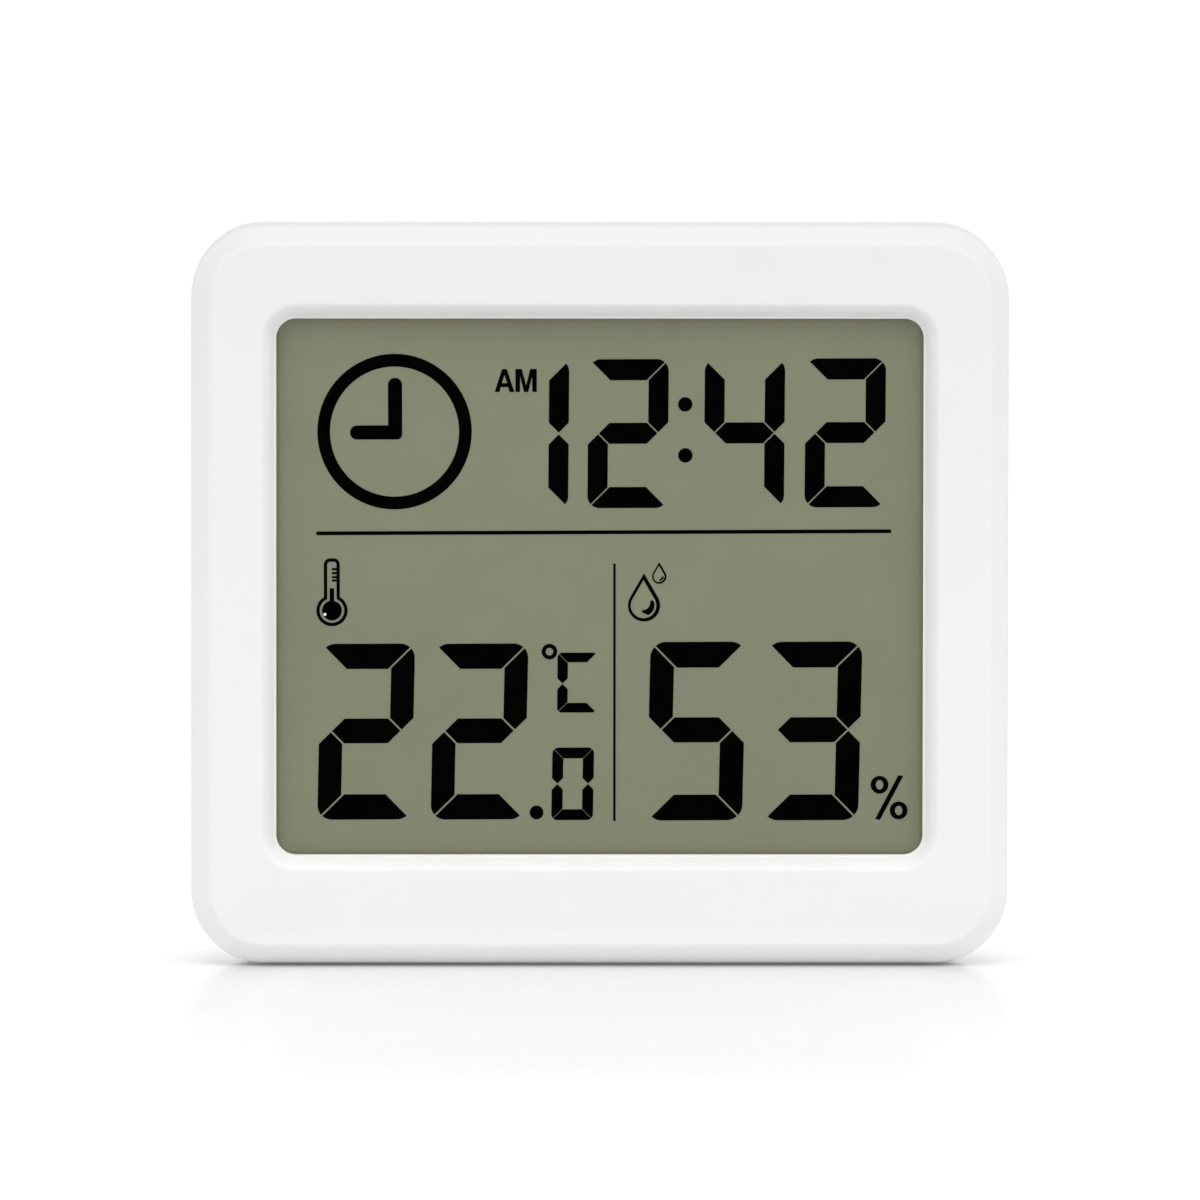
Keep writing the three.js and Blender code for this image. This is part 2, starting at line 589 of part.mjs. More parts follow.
// Recess for the door's disc, and in its ledge a hole for the skirt with a notch for each tab
function doorOpening() {
  const frontY = COLLAR_FRONT_Y - PAST;
  const recess = rod(DOOR_RECESS_R, DOOR_LEDGE_Y, REAR_Y + PAST, 0, 0, BIG_ROUND);
  const hole = rod(LEDGE_HOLE_R, frontY, REAR_Y + PAST, 0, 0, BIG_ROUND);
  const half = TAB_ANGLE / 2 + STOP_GAP_ANGLE;
  const notches = tabAngles().map((angle) => {
    const shape = ringSector(SKIRT_OUTER_R, NOTCH_R, angle - DOOR_TURN - half, angle - DOOR_TURN + half);
    return plate(shape, frontY, REAR_Y);
  });
  return joined([recess, hole, ...notches]).translate([CELL_X, 0, CELL_Z]);
}

// Middle of each tab with the door locked, turned from +X towards +Z
function tabAngles() {
  return Array.from({ length: TAB_COUNT }, (_, i) => TAB_FIRST + i * 360 / TAB_COUNT);
}

// Stops behind the ledge at both ends of each tab's turn
function bayonetStops() {
  const half = TAB_ANGLE / 2 + STOP_GAP_ANGLE;
  return tabAngles().flatMap((angle) => {
    const locked = ringSector(LEDGE_HOLE_R, NOTCH_R, angle + half, angle + half + STOP_ANGLE);
    const opened = ringSector(
      LEDGE_HOLE_R, NOTCH_R, angle - DOOR_TURN - half - STOP_ANGLE, angle - DOOR_TURN - half);
    return [locked, opened].map((shape) => plate(
      shape, SKIRT_END_Y, COLLAR_FRONT_Y + SEAT).translate([CELL_X, 0, CELL_Z]));
  });
}

// Keyhole: a nail or screw head goes in below and hangs in the slot above
function keyhole() {
  const [y0, y1] = [INNER_REAR_Y - PAST, REAR_Y + PAST];
  const entryZ = KEYHOLE_Z - KEYHOLE_RUN;
  const half = KEYHOLE_SLOT_W / 2;
  const slot = plate(roundedRect(-half, half, entryZ - half, KEYHOLE_Z + half, half - END_FLAT), y0, y1);
  return slot.add(rod(KEYHOLE_HEAD_D / 2, y0, y1, 0, entryZ));
}

function airSlots() {
  const half = VENT_L / 2;
  return Array.from({ length: VENT_COUNT }, (_, i) => {
    const z = VENT_Z + i * VENT_PITCH;
    const outline = roundedRect(VENT_X - half, VENT_X + half, z, z + VENT_W, VENT_W / 2 - END_FLAT);
    return plate(outline, INNER_REAR_Y - PAST, REAR_Y + PAST);
  });
}

// Stand leg about its pins: the heel above them lands on the pocket floor when the leg is open
function standLeg() {
  const half = STAND_T / 2;
  const reach = half + STAND_UNDER - HEEL_GAP;
  const [cos, sin] = [Math.cos(radians(STAND_OPEN)), Math.sin(radians(STAND_OPEN))];
  const heelLine = (z) => (z * sin - reach) / cos;
  const profile = polygon([
    [-half, -STAND_L + NAIL_CATCH],
    [-half + NAIL_CATCH, -STAND_L],
    [half, -STAND_L],
    [half, HEEL_L],
    [heelLine(HEEL_L), HEEL_L],
    [-half, (reach - half * cos) / sin],
  ]);
  const halfW = STAND_W / 2;
  const outline = roundedRect(-halfW, halfW, -STAND_L, HEEL_L + STAND_R, STAND_R);
  const leg = bar(profile, -halfW, halfW).intersect(plate(outline, -STAND_T, STAND_T));
  const [low, high] = [-STAND_L + NAIL_CATCH + STAND_RIM, -PIN_D - STAND_RIM];
  const hollows = SIDES.map((side) => {
    const [x0, x1] = [side * STAND_RIB / 2, side * (halfW - STAND_RIM)].sort((a, b) => a - b);
    return plate(roundedRect(x0, x1, low, high, STAND_RIM / 2), -half - PAST, half - STAND_SKIN);
  });
  const pinReach = halfW + STAND_SIDE_GAP + PIN_L;
  return cut(leg, hollows).add(crossRod(PIN_D / 2, -pinReach, pinReach, 0, 0));
}

// Round door with a skirt, bayonet tabs and a coin slot, turned about the cell's axis
function batteryDoor() {
  const faceY = REAR_Y - DOOR_FLUSH;
  const disc = turned([
    [0, DOOR_INNER_Y],
    [CELL_R + SKIRT_GAP, DOOR_INNER_Y],
    [CELL_R + SKIRT_GAP, SKIRT_END_Y],
    [SKIRT_OUTER_R, SKIRT_END_Y],
    [SKIRT_OUTER_R, DOOR_INNER_Y],
    [DOOR_R, DOOR_INNER_Y],
    [DOOR_R, faceY - DOOR_BREAK],
    [DOOR_R - DOOR_BREAK, faceY],
    [0, faceY],
  ], BIG_ROUND);
  const tabs = tabAngles().map((angle) => plate(
    ringSector(SKIRT_OUTER_R - SKIRT_T / 2, TAB_R, angle - TAB_ANGLE / 2, angle + TAB_ANGLE / 2),
    SKIRT_END_Y, TAB_REAR_Y));
  const [halfL, halfW] = [COIN_SLOT_L / 2, COIN_SLOT_W / 2];
  const slotShape = roundedRect(-halfL, halfL, -halfW, halfW, halfW - END_FLAT);
  const slot = plate(slotShape, faceY - COIN_SLOT_D, faceY + PAST);
  return joined([disc, ...tabs]).subtract(slot);
}

// Key cap with the flange that keeps it behind the rear wall, and the stem to its switch
function buttonCap() {
  const faceY = REAR_Y - BUTTON_FLUSH;
  const r = BUTTON_D / 2;
  const flangeRear = INNER_REAR_Y - FLANGE_GAP;
  const stemEnd = ON_BOARD_Y + SWITCH_H + PLUNGER_STANDS + SEAT;
  return turned([
    [0, stemEnd],
    [STEM_D / 2, stemEnd],
    [STEM_D / 2, flangeRear - FLANGE_T],
    [r + FLANGE_REACH, flangeRear - FLANGE_T],
    [r + FLANGE_REACH, flangeRear],
    [r, flangeRear],
    [r, faceY - BUTTON_CROWN],
    [r - BUTTON_CROWN, faceY],
    [0, faceY],
  ]);
}

function switchBody() {
  const half = SWITCH_W / 2;
  const body = plate(roundedRect(-half, half, -half, half, SWITCH_R), ON_BOARD_Y, ON_BOARD_Y + SWITCH_H);
  const floorY = ON_BOARD_Y + SWITCH_H - PLUNGER_SUNK - BUTTON_TRAVEL - SLIP;
  return body.subtract(rod(PLUNGER_D / 2 + SLIP, floorY, ON_BOARD_Y + SWITCH_H + PAST, 0, 0));
}

function switchPlunger() {
  const top = ON_BOARD_Y + SWITCH_H + PLUNGER_STANDS;
  return rod(PLUNGER_D / 2, ON_BOARD_Y + SWITCH_H - PLUNGER_SUNK, top, 0, 0);
}

// A layer of the display between two heights, inset from the glass edge, at a depth
function displayLayer(inset, bottom, depth, thickness) {
  const halfW = GLASS_HALF_W - inset;
  const shape = roundedRect(-halfW, halfW, bottom + inset, GLASS_TOP - inset, GLASS_R);
  return plate(shape, FRONT_Y + depth, FRONT_Y + depth + thickness, CHIP_STEPS);
}

// Conductive rubber strip from the glass ledge to the board
function zebraStrip() {
  const y = FRONT_Y + ZEBRA_DEPTH;
  const [low, high] = [GLASS_BOTTOM + ZEBRA_INSET, REAR_GLASS_BOTTOM - ZEBRA_INSET];
  return block(-ZEBRA_W / 2, ZEBRA_W / 2, y, y + ZEBRA_H, low, high);
}

// Foam strip that holds the top of the glass off the board
function foamStrip() {
  const y = FRONT_Y + REFLECTOR_DEPTH + REFLECTOR_T + SEAT;
  const top = GLASS_TOP - FOAM_INSET;
  return block(-FOAM_W / 2, FOAM_W / 2, y, BOARD_FRONT_Y - SEAT, top - FOAM_BAND, top);
}

// Circuit board with screw holes and the cut beside the sensor
function mainBoard() {
  const halfW = POST_X + BOARD_EDGE;
  const board = plate(
    roundedRect(-halfW, halfW, GLASS_BOTTOM, GLASS_TOP, BOARD_R), BOARD_FRONT_Y, BOARD_REAR_Y);
  const holes = fourPlaces(POST_X, POST_ZS).map(([x, z]) => rod(
    BOARD_SHANK_D / 2 + SLIP, BOARD_FRONT_Y - PAST, BOARD_REAR_Y + PAST, x, z, SMALL_ROUND));
  const slotX = VENT_X - SENSOR_W / 2 - SLOT_CUT_OFF;
  const warmthCut = plate(roundedRect(
    slotX, slotX + SLOT_CUT_W, VENT_MID_Z - SLOT_CUT_L / 2, VENT_MID_Z + SLOT_CUT_L / 2,
    SLOT_CUT_W / 2 - END_FLAT), BOARD_FRONT_Y - PAST, BOARD_REAR_Y + PAST);
  return cut(board, [...holes, warmthCut]);
}

// Domed drop of resin over the controller chip
function driverChip() {
  const r = BLOB_D / 2;
  const dome = new THREE.EllipseCurve(0, 0, r, BLOB_H, 0, Math.PI / 2).getPoints(DOME_STEPS);
  const outline = dome.slice(0, -1).map((p) => [p.x, ON_BOARD_Y + p.y]);
  return turned([[0, ON_BOARD_Y], ...outline, [0, ON_BOARD_Y + BLOB_H]]);
}

function climateSensor() {
  const half = SENSOR_W / 2;
  const top = ON_BOARD_Y + SENSOR_H;
  const body = plate(roundedRect(-half, half, -half, half, CAPACITOR_R), ON_BOARD_Y, top, CHIP_STEPS);
  return body.subtract(rod(SENSOR_PORT_D / 2, top - SENSOR_PORT_DEEP, top + PAST, 0, 0, SMALL_ROUND));
}

function capacitor() {
  const [halfL, halfW] = [CAPACITOR_L / 2, CAPACITOR_W / 2];
  const shape = roundedRect(-halfL, halfL, -halfW, halfW, CAPACITOR_R);
  return plate(shape, ON_BOARD_Y, ON_BOARD_Y + CAPACITOR_H, CHIP_STEPS);
}

// Quartz crystal can, lying on the board along X
function crystal() {
  const r = CRYSTAL_D / 2;
  return crossRod(r, -CRYSTAL_L / 2, CRYSTAL_L / 2, ON_BOARD_Y + r, 0);
}

// Coin cell: negative cap towards the board, positive can towards the door
function coinCell() {
  const y = FRONT_Y + CELL_DEPTH;
  return turned([
    [0, y],
    [CELL_CAP_D / 2, y],
    [CELL_CAP_D / 2 + CELL_EDGE, y + CELL_CAP_H],
    [CELL_R - CELL_EDGE, y + CELL_CAP_H],
    [CELL_R, y + CELL_CAP_H + CELL_EDGE],
    [CELL_R, y + CELL_T - CELL_EDGE],
    [CELL_R - CELL_EDGE, y + CELL_T],
    [0, y + CELL_T],
  ], BIG_ROUND);
}

// Holder ring round the cell, notched for the positive contact and for a fingernail
function cellHolder() {
  const innerR = CELL_R + HOLDER_GAP;
  const outerR = innerR + HOLDER_WALL;
  const [y0, y1] = [ON_BOARD_Y, SKIRT_END_Y - SLIP];
  const disc = rod(outerR, y0, y1, 0, 0, BIG_ROUND);
  const hollow = rod(innerR, y0 - PAST, y1 + PAST, 0, 0, BIG_ROUND);
  const half = HOLDER_NOTCH / 2;
  const notchFloor = y0 + CONTACT_H;
  const contactNotch = block(-outerR - PAST, 0, y0 - PAST, y1 + PAST, -half, half);
  const nailNotch = block(0, outerR + PAST, notchFloor, y1 + PAST, -half, half);
  return cut(disc, [hollow, contactNotch, nailNotch]);
}

// Sheet contact: a bent strip with its section in X and Y, centred on the cell
function contact(points) {
  const geometry = new THREE.ExtrudeGeometry(polygon(points), { depth: CONTACT_W, bevelEnabled: false });
  return solid(geometry.translate(0, ON_BOARD_Y, -CONTACT_W / 2));
}

// Leaf under the cell that touches its negative cap
function negativeContact() {
  const half = CONTACT_L / 2;
  const rise = CONTACT_H - CONTACT_T;
  const bend = CONTACT_T / 2;
  return contact([
    [-half, 0], [0, 0], [CONTACT_RUN, rise], [half, rise],
    [half, CONTACT_H], [CONTACT_RUN - bend, CONTACT_H], [-bend, CONTACT_T], [-half, CONTACT_T],
  ]);
}

// Angle that stands beside the cell in the holder's notch and touches its positive can
function positiveContact() {
  const face = -CELL_R - SEAT;
  const top = SKIRT_END_Y - SLIP - ON_BOARD_Y;
  return contact([
    [-CONTACT_FOOT, 0], [face, 0], [face, top],
    [face - CONTACT_T, top], [face - CONTACT_T, CONTACT_T], [-CONTACT_FOOT, CONTACT_T],
  ]);
}

// Pan-head cross-recess screw along Y with its tip to the front, the head's underside at y
function screw(headD, headH, shankD, length, y) {
  const [headR, shankR] = [headD / 2, shankD / 2];
  const [reach, half] = [CROSS_REACH * headR, CROSS_WIDE * headR];
  const recessY = y + headH * (1 - CROSS_DEEP);
  const cross = [[reach, half], [half, reach]].map(([halfX, halfZ]) => block(
    -halfX, halfX, recessY, y + headH + PAST, -halfZ, halfZ));
  const blank = turned([
    [0, y - length],
    [shankR / 2, y - length],
    [shankR, y - length + shankR],
    [shankR, y],
    [headR, y],
    [headR, y + headH / 2],
    [headR - headH / 2, y + headH],
    [0, y + headH],
  ], SMALL_ROUND);
  return cut(blank, cross);
}

function finish(color, roughness, metalness = 0) {
  return new THREE.MeshStandardMaterial({ color, roughness, metalness });
}

const finishes = {
  caseWhite: finish('#f1f1f0', 0.5),
  keyWhite: finish('#e6e7e6', 0.45),
  displayFilm: finish('#8b9079', 0.4),
  glass: finish('#c9d2cf', 0.08),
  reflector: finish('#a9ad97', 0.45),
  conductiveRubber: finish('#3a3a3d', 0.8),
  foam: finish('#2c2c2e', 0.95),
  board: finish('#2f6b46', 0.5),
  resin: finish('#161617', 0.35),
  steel: finish('#b9bbbd', 0.3, 1),
  spring: finish('#d4c9a0', 0.3, 1),
  ceramic: finish('#b59a76', 0.6),
  blackPlastic: finish('#222325', 0.55),
};

const hygrometer = new THREE.Group();

// Adds one named piece, at a place in the plane of the display unless it is built in place
function add(name, body, material, x = 0, z = 0, y = 0) {
  const mesh = new THREE.Mesh(geometryOf(body), material);
  mesh.name = name;
  mesh.position.set(x, y, z);
  hygrometer.add(mesh);
}

add('front_case', frontCase(), finishes.caseWhite);
add('rear_cover', rearCover(), finishes.caseWhite);
add('stand_leg', standLeg(), finishes.caseWhite, 0, HINGE_Z, HINGE_Y);
add('battery_door', batteryDoor(), finishes.caseWhite, CELL_X, CELL_Z);

add('lcd_front_polariser',
  displayLayer(FILM_INSET, REAR_GLASS_BOTTOM, POLARISER_DEPTH, POLARISER_T), finishes.displayFilm);
add('lcd_front_glass', displayLayer(0, GLASS_BOTTOM, FRONT_GLASS_DEPTH, GLASS_T), finishes.glass);
add('lcd_rear_glass', displayLayer(0, REAR_GLASS_BOTTOM, REAR_GLASS_DEPTH, GLASS_T), finishes.glass);
add('lcd_reflector',
  displayLayer(FILM_INSET, REAR_GLASS_BOTTOM, REFLECTOR_DEPTH, REFLECTOR_T), finishes.reflector);
add('zebra_strip', zebraStrip(), finishes.conductiveRubber);
add('foam_strip', foamStrip(), finishes.foam);

add('main_board', mainBoard(), finishes.board);
add('driver_chip', driverChip(), finishes.resin, BLOB_X, BLOB_Z);
add('crystal', crystal(), finishes.steel, CRYSTAL_X, CRYSTAL_Z);
add('climate_sensor', climateSensor(), finishes.blackPlastic, VENT_X, VENT_MID_Z);
CAPACITOR_STEPS.forEach(([x, z], i) => {
  add(`capacitor_${i + 1}`, capacitor(), finishes.ceramic, x - POST_X, z + POST_ZS[0]);
});

add('coin_cell', coinCell(), finishes.steel, CELL_X, CELL_Z);
add('cell_holder', cellHolder(), finishes.blackPlastic, CELL_X, CELL_Z);
add('positive_contact', positiveContact(), finishes.spring, CELL_X, CELL_Z);
add('negative_contact', negativeContact(), finishes.spring, CELL_X, CELL_Z);

['set', 'adjust'].forEach((key, i) => {
  add(`${key}_button`, buttonCap(), finishes.keyWhite, BUTTON_X, BUTTON_ZS[i]);
  add(`${key}_switch`, switchBody(), finishes.blackPlastic, BUTTON_X, BUTTON_ZS[i]);
  add(`${key}_switch_plunger`, switchPlunger(), finishes.blackPlastic, BUTTON_X, BUTTON_ZS[i]);
});

const caseScrew = screw(CASE_HEAD_D, CASE_HEAD_H, CASE_SHANK_D, CASE_SCREW_L, BORE_FLOOR_Y + SEAT);
fourPlaces(BOSS_X, BOSS_ZS).forEach(([x, z], i) => {
  add(`case_screw_${i + 1}`, caseScrew, finishes.steel, x, z);
});
const boardScrew = screw(BOARD_HEAD_D, BOARD_HEAD_H, BOARD_SHANK_D, BOARD_SCREW_L, ON_BOARD_Y);
fourPlaces(POST_X, POST_ZS).forEach(([x, z], i) => {
  add(`board_screw_${i + 1}`, boardScrew, finishes.steel, x, z);
});

export default hygrometer;
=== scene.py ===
# %% [markdown]
# A table hygrometer with a clock and a thermometer, dressed for its photograph.
# The moulded case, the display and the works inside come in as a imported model: those shapes are
# settled, and here they only get their finishes. What is new is the picture on the display, because
# a liquid crystal shows its figures in a layer thinner than paper, and a solid is no place for that.

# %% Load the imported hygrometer
import math

import bmesh
import bpy
from mathutils import Matrix, Vector
from mathutils.geometry import tessellate_polygon


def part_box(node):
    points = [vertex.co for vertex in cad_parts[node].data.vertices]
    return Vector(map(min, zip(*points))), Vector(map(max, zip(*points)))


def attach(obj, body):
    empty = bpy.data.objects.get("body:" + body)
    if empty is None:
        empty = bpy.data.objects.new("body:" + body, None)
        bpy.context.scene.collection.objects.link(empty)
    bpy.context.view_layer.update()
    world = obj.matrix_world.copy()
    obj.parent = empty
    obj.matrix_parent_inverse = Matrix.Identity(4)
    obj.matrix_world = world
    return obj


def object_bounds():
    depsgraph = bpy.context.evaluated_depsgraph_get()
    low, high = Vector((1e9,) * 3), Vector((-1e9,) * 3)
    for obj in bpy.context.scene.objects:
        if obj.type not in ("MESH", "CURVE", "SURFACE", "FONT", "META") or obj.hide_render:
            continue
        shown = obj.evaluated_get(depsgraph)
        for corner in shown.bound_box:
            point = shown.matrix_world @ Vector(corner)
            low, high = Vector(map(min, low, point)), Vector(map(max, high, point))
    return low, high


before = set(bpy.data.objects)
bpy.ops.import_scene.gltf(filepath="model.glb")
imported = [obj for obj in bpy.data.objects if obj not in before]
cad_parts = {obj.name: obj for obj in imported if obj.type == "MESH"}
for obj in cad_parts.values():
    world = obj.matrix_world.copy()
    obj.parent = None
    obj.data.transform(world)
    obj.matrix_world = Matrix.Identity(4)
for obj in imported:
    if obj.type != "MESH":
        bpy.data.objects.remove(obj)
cad_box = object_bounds()
MM = 0.001

# %% [markdown]
# The photograph was taken from far away with a long lens, a little above the case and a little to
# its left, so the upright sides stay almost parallel. A camera can be dragged into place by eye, but
# here its distance, height and turn were worked out from the corners of the case and of the window.
# The sensor is taken as 36 mm wide and the picture as square.

# %% The camera of the photograph
SENSOR_MM = 36
LENS_MM = 478.06
CAMERA_DISTANCE = 1.54371
CAMERA_RISE_DEG = 3.7342
CAMERA_LEFT_DEG = 0.8135
CAMERA_ROLL_DEG = 0.0678
CAMERA_AIM = Vector((0.0000804, 0, 0.0349005))
CAMERA_SEES_FROM = 0.05
CAMERA_SEES_TO = 20


def camera_matrix(aim, distance, rise, left, roll):
    """The place and turn of a camera that looks at aim, tipped round its own axis by roll."""
    back = Vector((-math.sin(left) * math.cos(rise), -math.cos(left) * math.cos(rise), math.sin(rise)))
    right = (-back).cross(Vector((0, 0, 1))).normalized()
    up = back.cross(right)
    tipped_right = right * math.cos(roll) + up * math.sin(roll)
    tipped_up = up * math.cos(roll) - right * math.sin(roll)
    turn = Matrix((tipped_right, tipped_up, back)).transposed().to_4x4()
    return Matrix.Translation(aim + back * distance) @ turn


camera_data = bpy.data.cameras.new("photo_camera")
camera_data.sensor_fit = "HORIZONTAL"
camera_data.sensor_width = SENSOR_MM
camera_data.lens = LENS_MM
camera_data.clip_start = CAMERA_SEES_FROM
camera_data.clip_end = CAMERA_SEES_TO
camera = bpy.data.objects.new("photo_camera", camera_data)
bpy.context.scene.collection.objects.link(camera)
camera.matrix_world = camera_matrix(
    CAMERA_AIM,
    CAMERA_DISTANCE,
    math.radians(CAMERA_RISE_DEG),
    math.radians(CAMERA_LEFT_DEG),
    math.radians(CAMERA_ROLL_DEG),
)
bpy.context.scene.camera = camera
print("camera at", [round(v, 4) for v in camera.matrix_world.translation])

# %% [markdown]
# The case stands on a pale, slightly shiny table that turns into the background without an edge. A
# studio does this with a sheet that curves up behind the object. It is made the same way here: one
# profile that lies flat, bends through a quarter circle and stands up, drawn out sideways. No moulding
# touches a table all along its edge: it stands on a few high spots, and a dark hairline of shadow shows
# under the rest, so the sheet lies a few tenths of a millimetre lower.

# %% The curved studio sheet
SHEET_HALF_WIDTH = 4.0
SHEET_NEAR_Y = -4.0
SHEET_BEND_Y = 1.6
SHEET_BEND_R = 1.2
SHEET_TOP_Z = 4.0
SHEET_BEND_STEPS = 24
SHEET_DROP_MM = 0.26


def studio_sheet_profile():
    """Points (y, z) along the sheet, from the near edge to the top."""
    points = [(SHEET_NEAR_Y, 0.0)]
    for step in range(SHEET_BEND_STEPS + 1):
        turn = math.pi / 2 * step / SHEET_BEND_STEPS
        points.append((SHEET_BEND_Y + SHEET_BEND_R * math.sin(turn), SHEET_BEND_R * (1 - math.cos(turn))))
    points.append((SHEET_BEND_Y + SHEET_BEND_R, SHEET_TOP_Z))
    return points


def make_studio_sheet():
    shape = bmesh.new()
    rows = []
    for y, z in studio_sheet_profile():
        low_z = z - SHEET_DROP_MM * MM
        rows.append([shape.verts.new((x, y, low_z)) for x in (-SHEET_HALF_WIDTH, SHEET_HALF_WIDTH)])
    for low, high in zip(rows, rows[1:]):
        shape.faces.new((low[0], low[1], high[1], high[0])).smooth = True
    mesh = bpy.data.meshes.new("studio_sheet")
    shape.to_mesh(mesh)
    shape.free()
    sheet = bpy.data.objects.new("studio_sheet", mesh)
    bpy.context.scene.collection.objects.link(sheet)
    return sheet


studio_sheet = make_studio_sheet()
print("studio sheet of", len(studio_sheet.data.polygons), "faces")

# %% [markdown]
# The light in the photograph is soft and comes from all round, with more of it from above and in
# front: the slope under the window is the brightest, the slope over it the darkest, and the shadow of
# the top rim fades over the display. A wide lamp overhead gives that, two broad ones at the sides
# light the slopes beside the window, the right one a little more, a weak one behind keeps the back
# readable, and an even world fills the rest without a cast shadow.
# Light adds up, so each lamp was rendered alone and their powers were chosen from those pictures.

# %% Studio light
WORLD_STRENGTH = 0.225
LAMPS = (
    ("overhead_lamp", Vector((0, -1.0, 2.0)), 1.6, 26),
    ("left_lamp", Vector((-1.8, -1.0, 0.9)), 2.0, 16.5),
    ("right_lamp", Vector((1.8, -1.0, 0.9)), 2.0, 19.5),
    ("back_lamp", Vector((0, 0.9, 2.2)), 1.8, 3),
)


def light_the_world(strength):
    world = bpy.data.worlds.new("studio_world")
    world.use_nodes = True
    backdrop = world.node_tree.nodes["Background"]
    backdrop.inputs["Color"].default_value = (1, 1, 1, 1)
    backdrop.inputs["Strength"].default_value = strength
    bpy.context.scene.world = world


def hang_soft_lamp(name, place, size, watts):
    """A square soft lamp that looks at the middle of the case."""
    lamp = bpy.data.lights.new(name, "AREA")
    lamp.size = size
    lamp.energy = watts
    holder = bpy.data.objects.new(name, lamp)
    holder.location = place
    holder.rotation_euler = (CAMERA_AIM - place).to_track_quat("-Z", "Y").to_euler()
    bpy.context.scene.collection.objects.link(holder)


light_the_world(WORLD_STRENGTH)
for lamp in LAMPS:
    hang_soft_lamp(*lamp)
bpy.context.scene.view_settings.view_transform = "Standard"
print("lit by an even world and", len(LAMPS), "lamps")

# %% [markdown]
# Every finish below is built from a few small steps: a noise that gives a grain of a real size, a
# ramp that turns it into two close colours, a range that turns it into roughness, and a bump that
# turns it into relief. Image textures could do the same, but a noise in the object's own coordinates
# needs no unwrapping and keeps its scale on every piece.

# %% The steps that finishes are made of
def new_finish(name):
    """A material with its node tree and its shader."""
    material = bpy.data.materials.new(name)
    material.use_nodes = True
    tree = material.node_tree
    return material, tree, tree.nodes["Principled BSDF"]


def place_on_piece(tree):
    """Coordinates in metres that are fixed to the piece."""
    return tree.nodes.new("ShaderNodeTexCoord").outputs["Object"]


def axes_of_piece(tree):
    """The same coordinates, one socket for each axis."""
    axes = tree.nodes.new("ShaderNodeSeparateXYZ")
    tree.links.new(place_on_piece(tree), axes.inputs["Vector"])
    return axes.outputs


def grain(tree, size_mm, detail=3.0, place=None):
    """A noise whose lumps are about size_mm across."""
    noise = tree.nodes.new("ShaderNodeTexNoise")
    noise.inputs["Scale"].default_value = 1 / (size_mm * MM)
    noise.inputs["Detail"].default_value = detail
    tree.links.new(place or place_on_piece(tree), noise.inputs["Vector"])
    return noise.outputs["Fac"]


def two_tone(tree, factor, dark, light, low=0.3, high=0.7):
    """A colour that goes from dark to light as the factor goes from low to high."""
    ramp = tree.nodes.new("ShaderNodeValToRGB")
    ramp.color_ramp.elements[0].position = low
    ramp.color_ramp.elements[0].color = (*dark, 1)
    ramp.color_ramp.elements[1].position = high
    ramp.color_ramp.elements[1].color = (*light, 1)
    tree.links.new(factor, ramp.inputs["Fac"])
    return ramp.outputs["Color"]


def spread(tree, factor, least, most, low=0.3, high=0.7):
    """A number that goes from least to most as the factor goes from low to high."""
    reach = tree.nodes.new("ShaderNodeMapRange")
    for socket, value in (("From Min", low), ("From Max", high), ("To Min", least), ("To Max", most)):
        reach.inputs[socket].default_value = value
    tree.links.new(factor, reach.inputs["Value"])
    return reach.outputs["Result"]


def tint(tree, colour, factor, toward):
    """The colour, moved toward another one as the factor goes to 1."""
    mix = tree.nodes.new("ShaderNodeMix")
    mix.data_type = "RGBA"
    tree.links.new(factor, mix.inputs["Factor"])
    tree.links.new(colour, mix.inputs["A"])
    mix.inputs["B"].default_value = (*toward, 1)
    return mix.outputs["Result"]


def number_step(tree, operation, first, second):
    """One sum on two numbers, each a socket or a plain value."""
    step = tree.nodes.new("ShaderNodeMath")
    step.operation = operation
    for socket, value in zip(step.inputs, (first, second)):
        if isinstance(value, (int, float)):
            socket.default_value = value
        else:
            tree.links.new(value, socket)
    return step.outputs["Value"]


def relief(tree, height, depth_mm, strength=1.0):
    """A bump of that depth, to be linked to the shader's normal."""
    bump = tree.nodes.new("ShaderNodeBump")
    bump.inputs["Strength"].default_value = strength
    bump.inputs["Distance"].default_value = depth_mm * MM
    tree.links.new(height, bump.inputs["Height"])
    return bump.outputs["Normal"]


print("finish steps ready")

# %% [markdown]
# The sheet under the case is white plastic with a painted glow of its own, as on a table for catalogue
# pictures with lamps behind it, though no lamp is there: that is how the background turns pure white while
# the case keeps its shading. The glow is weak in front of the case and strong from three centimetres
# behind it on, where it washes out the shadows of the side lamps. In front of the case the sheet is
# lacquered, so the foot of the case is mirrored there, and the lacquer thins out toward the reader, so the
# display isn't. Along the foot the photograph has a short soft shadow that lamps as far off as these don't
# throw, so a painted shadow tones the sheet darker there: half as much for every few millimetres away from
# the foot, and wider and fainter under the round corners, which stand higher over the sheet.

# %% Glowing white for the studio sheet, with a painted shadow along the foot
SHEET_TOOTH_MM = 1.2
SHEET_WHITES = ((0.97, 0.97, 0.97), (0.99, 0.99, 0.99))
SHEET_ROUGH = (0.60, 0.66)
# Painted glow: light the sheet gives of its own, weak in front of the case and strong from three
# centimetres behind it on.
GLOW_NEAR = 0.05
GLOW_FAR = 0.40
GLOW_NEAR_Y = 0.002
GLOW_FAR_Y = 0.030
LACQUER = 0.7
LACQUER_ROUGH = (0.10, 0.14)
LACQUER_FROM_Y = -0.13
LACQUER_FULL_Y = -0.006
FOOT_FRONT_Y = -0.0042
FOOT_SHADE = 0.40
FOOT_SHADE_TONE = (0.04, 0.04, 0.04)
FOOT_SHADE_HALVES_MM = 2.0
CORNER_SHADE_HALVES_MM = 12.0
FOOT_SHADE_FULL_X = 0.030
FOOT_SHADE_NONE_X = 0.0425


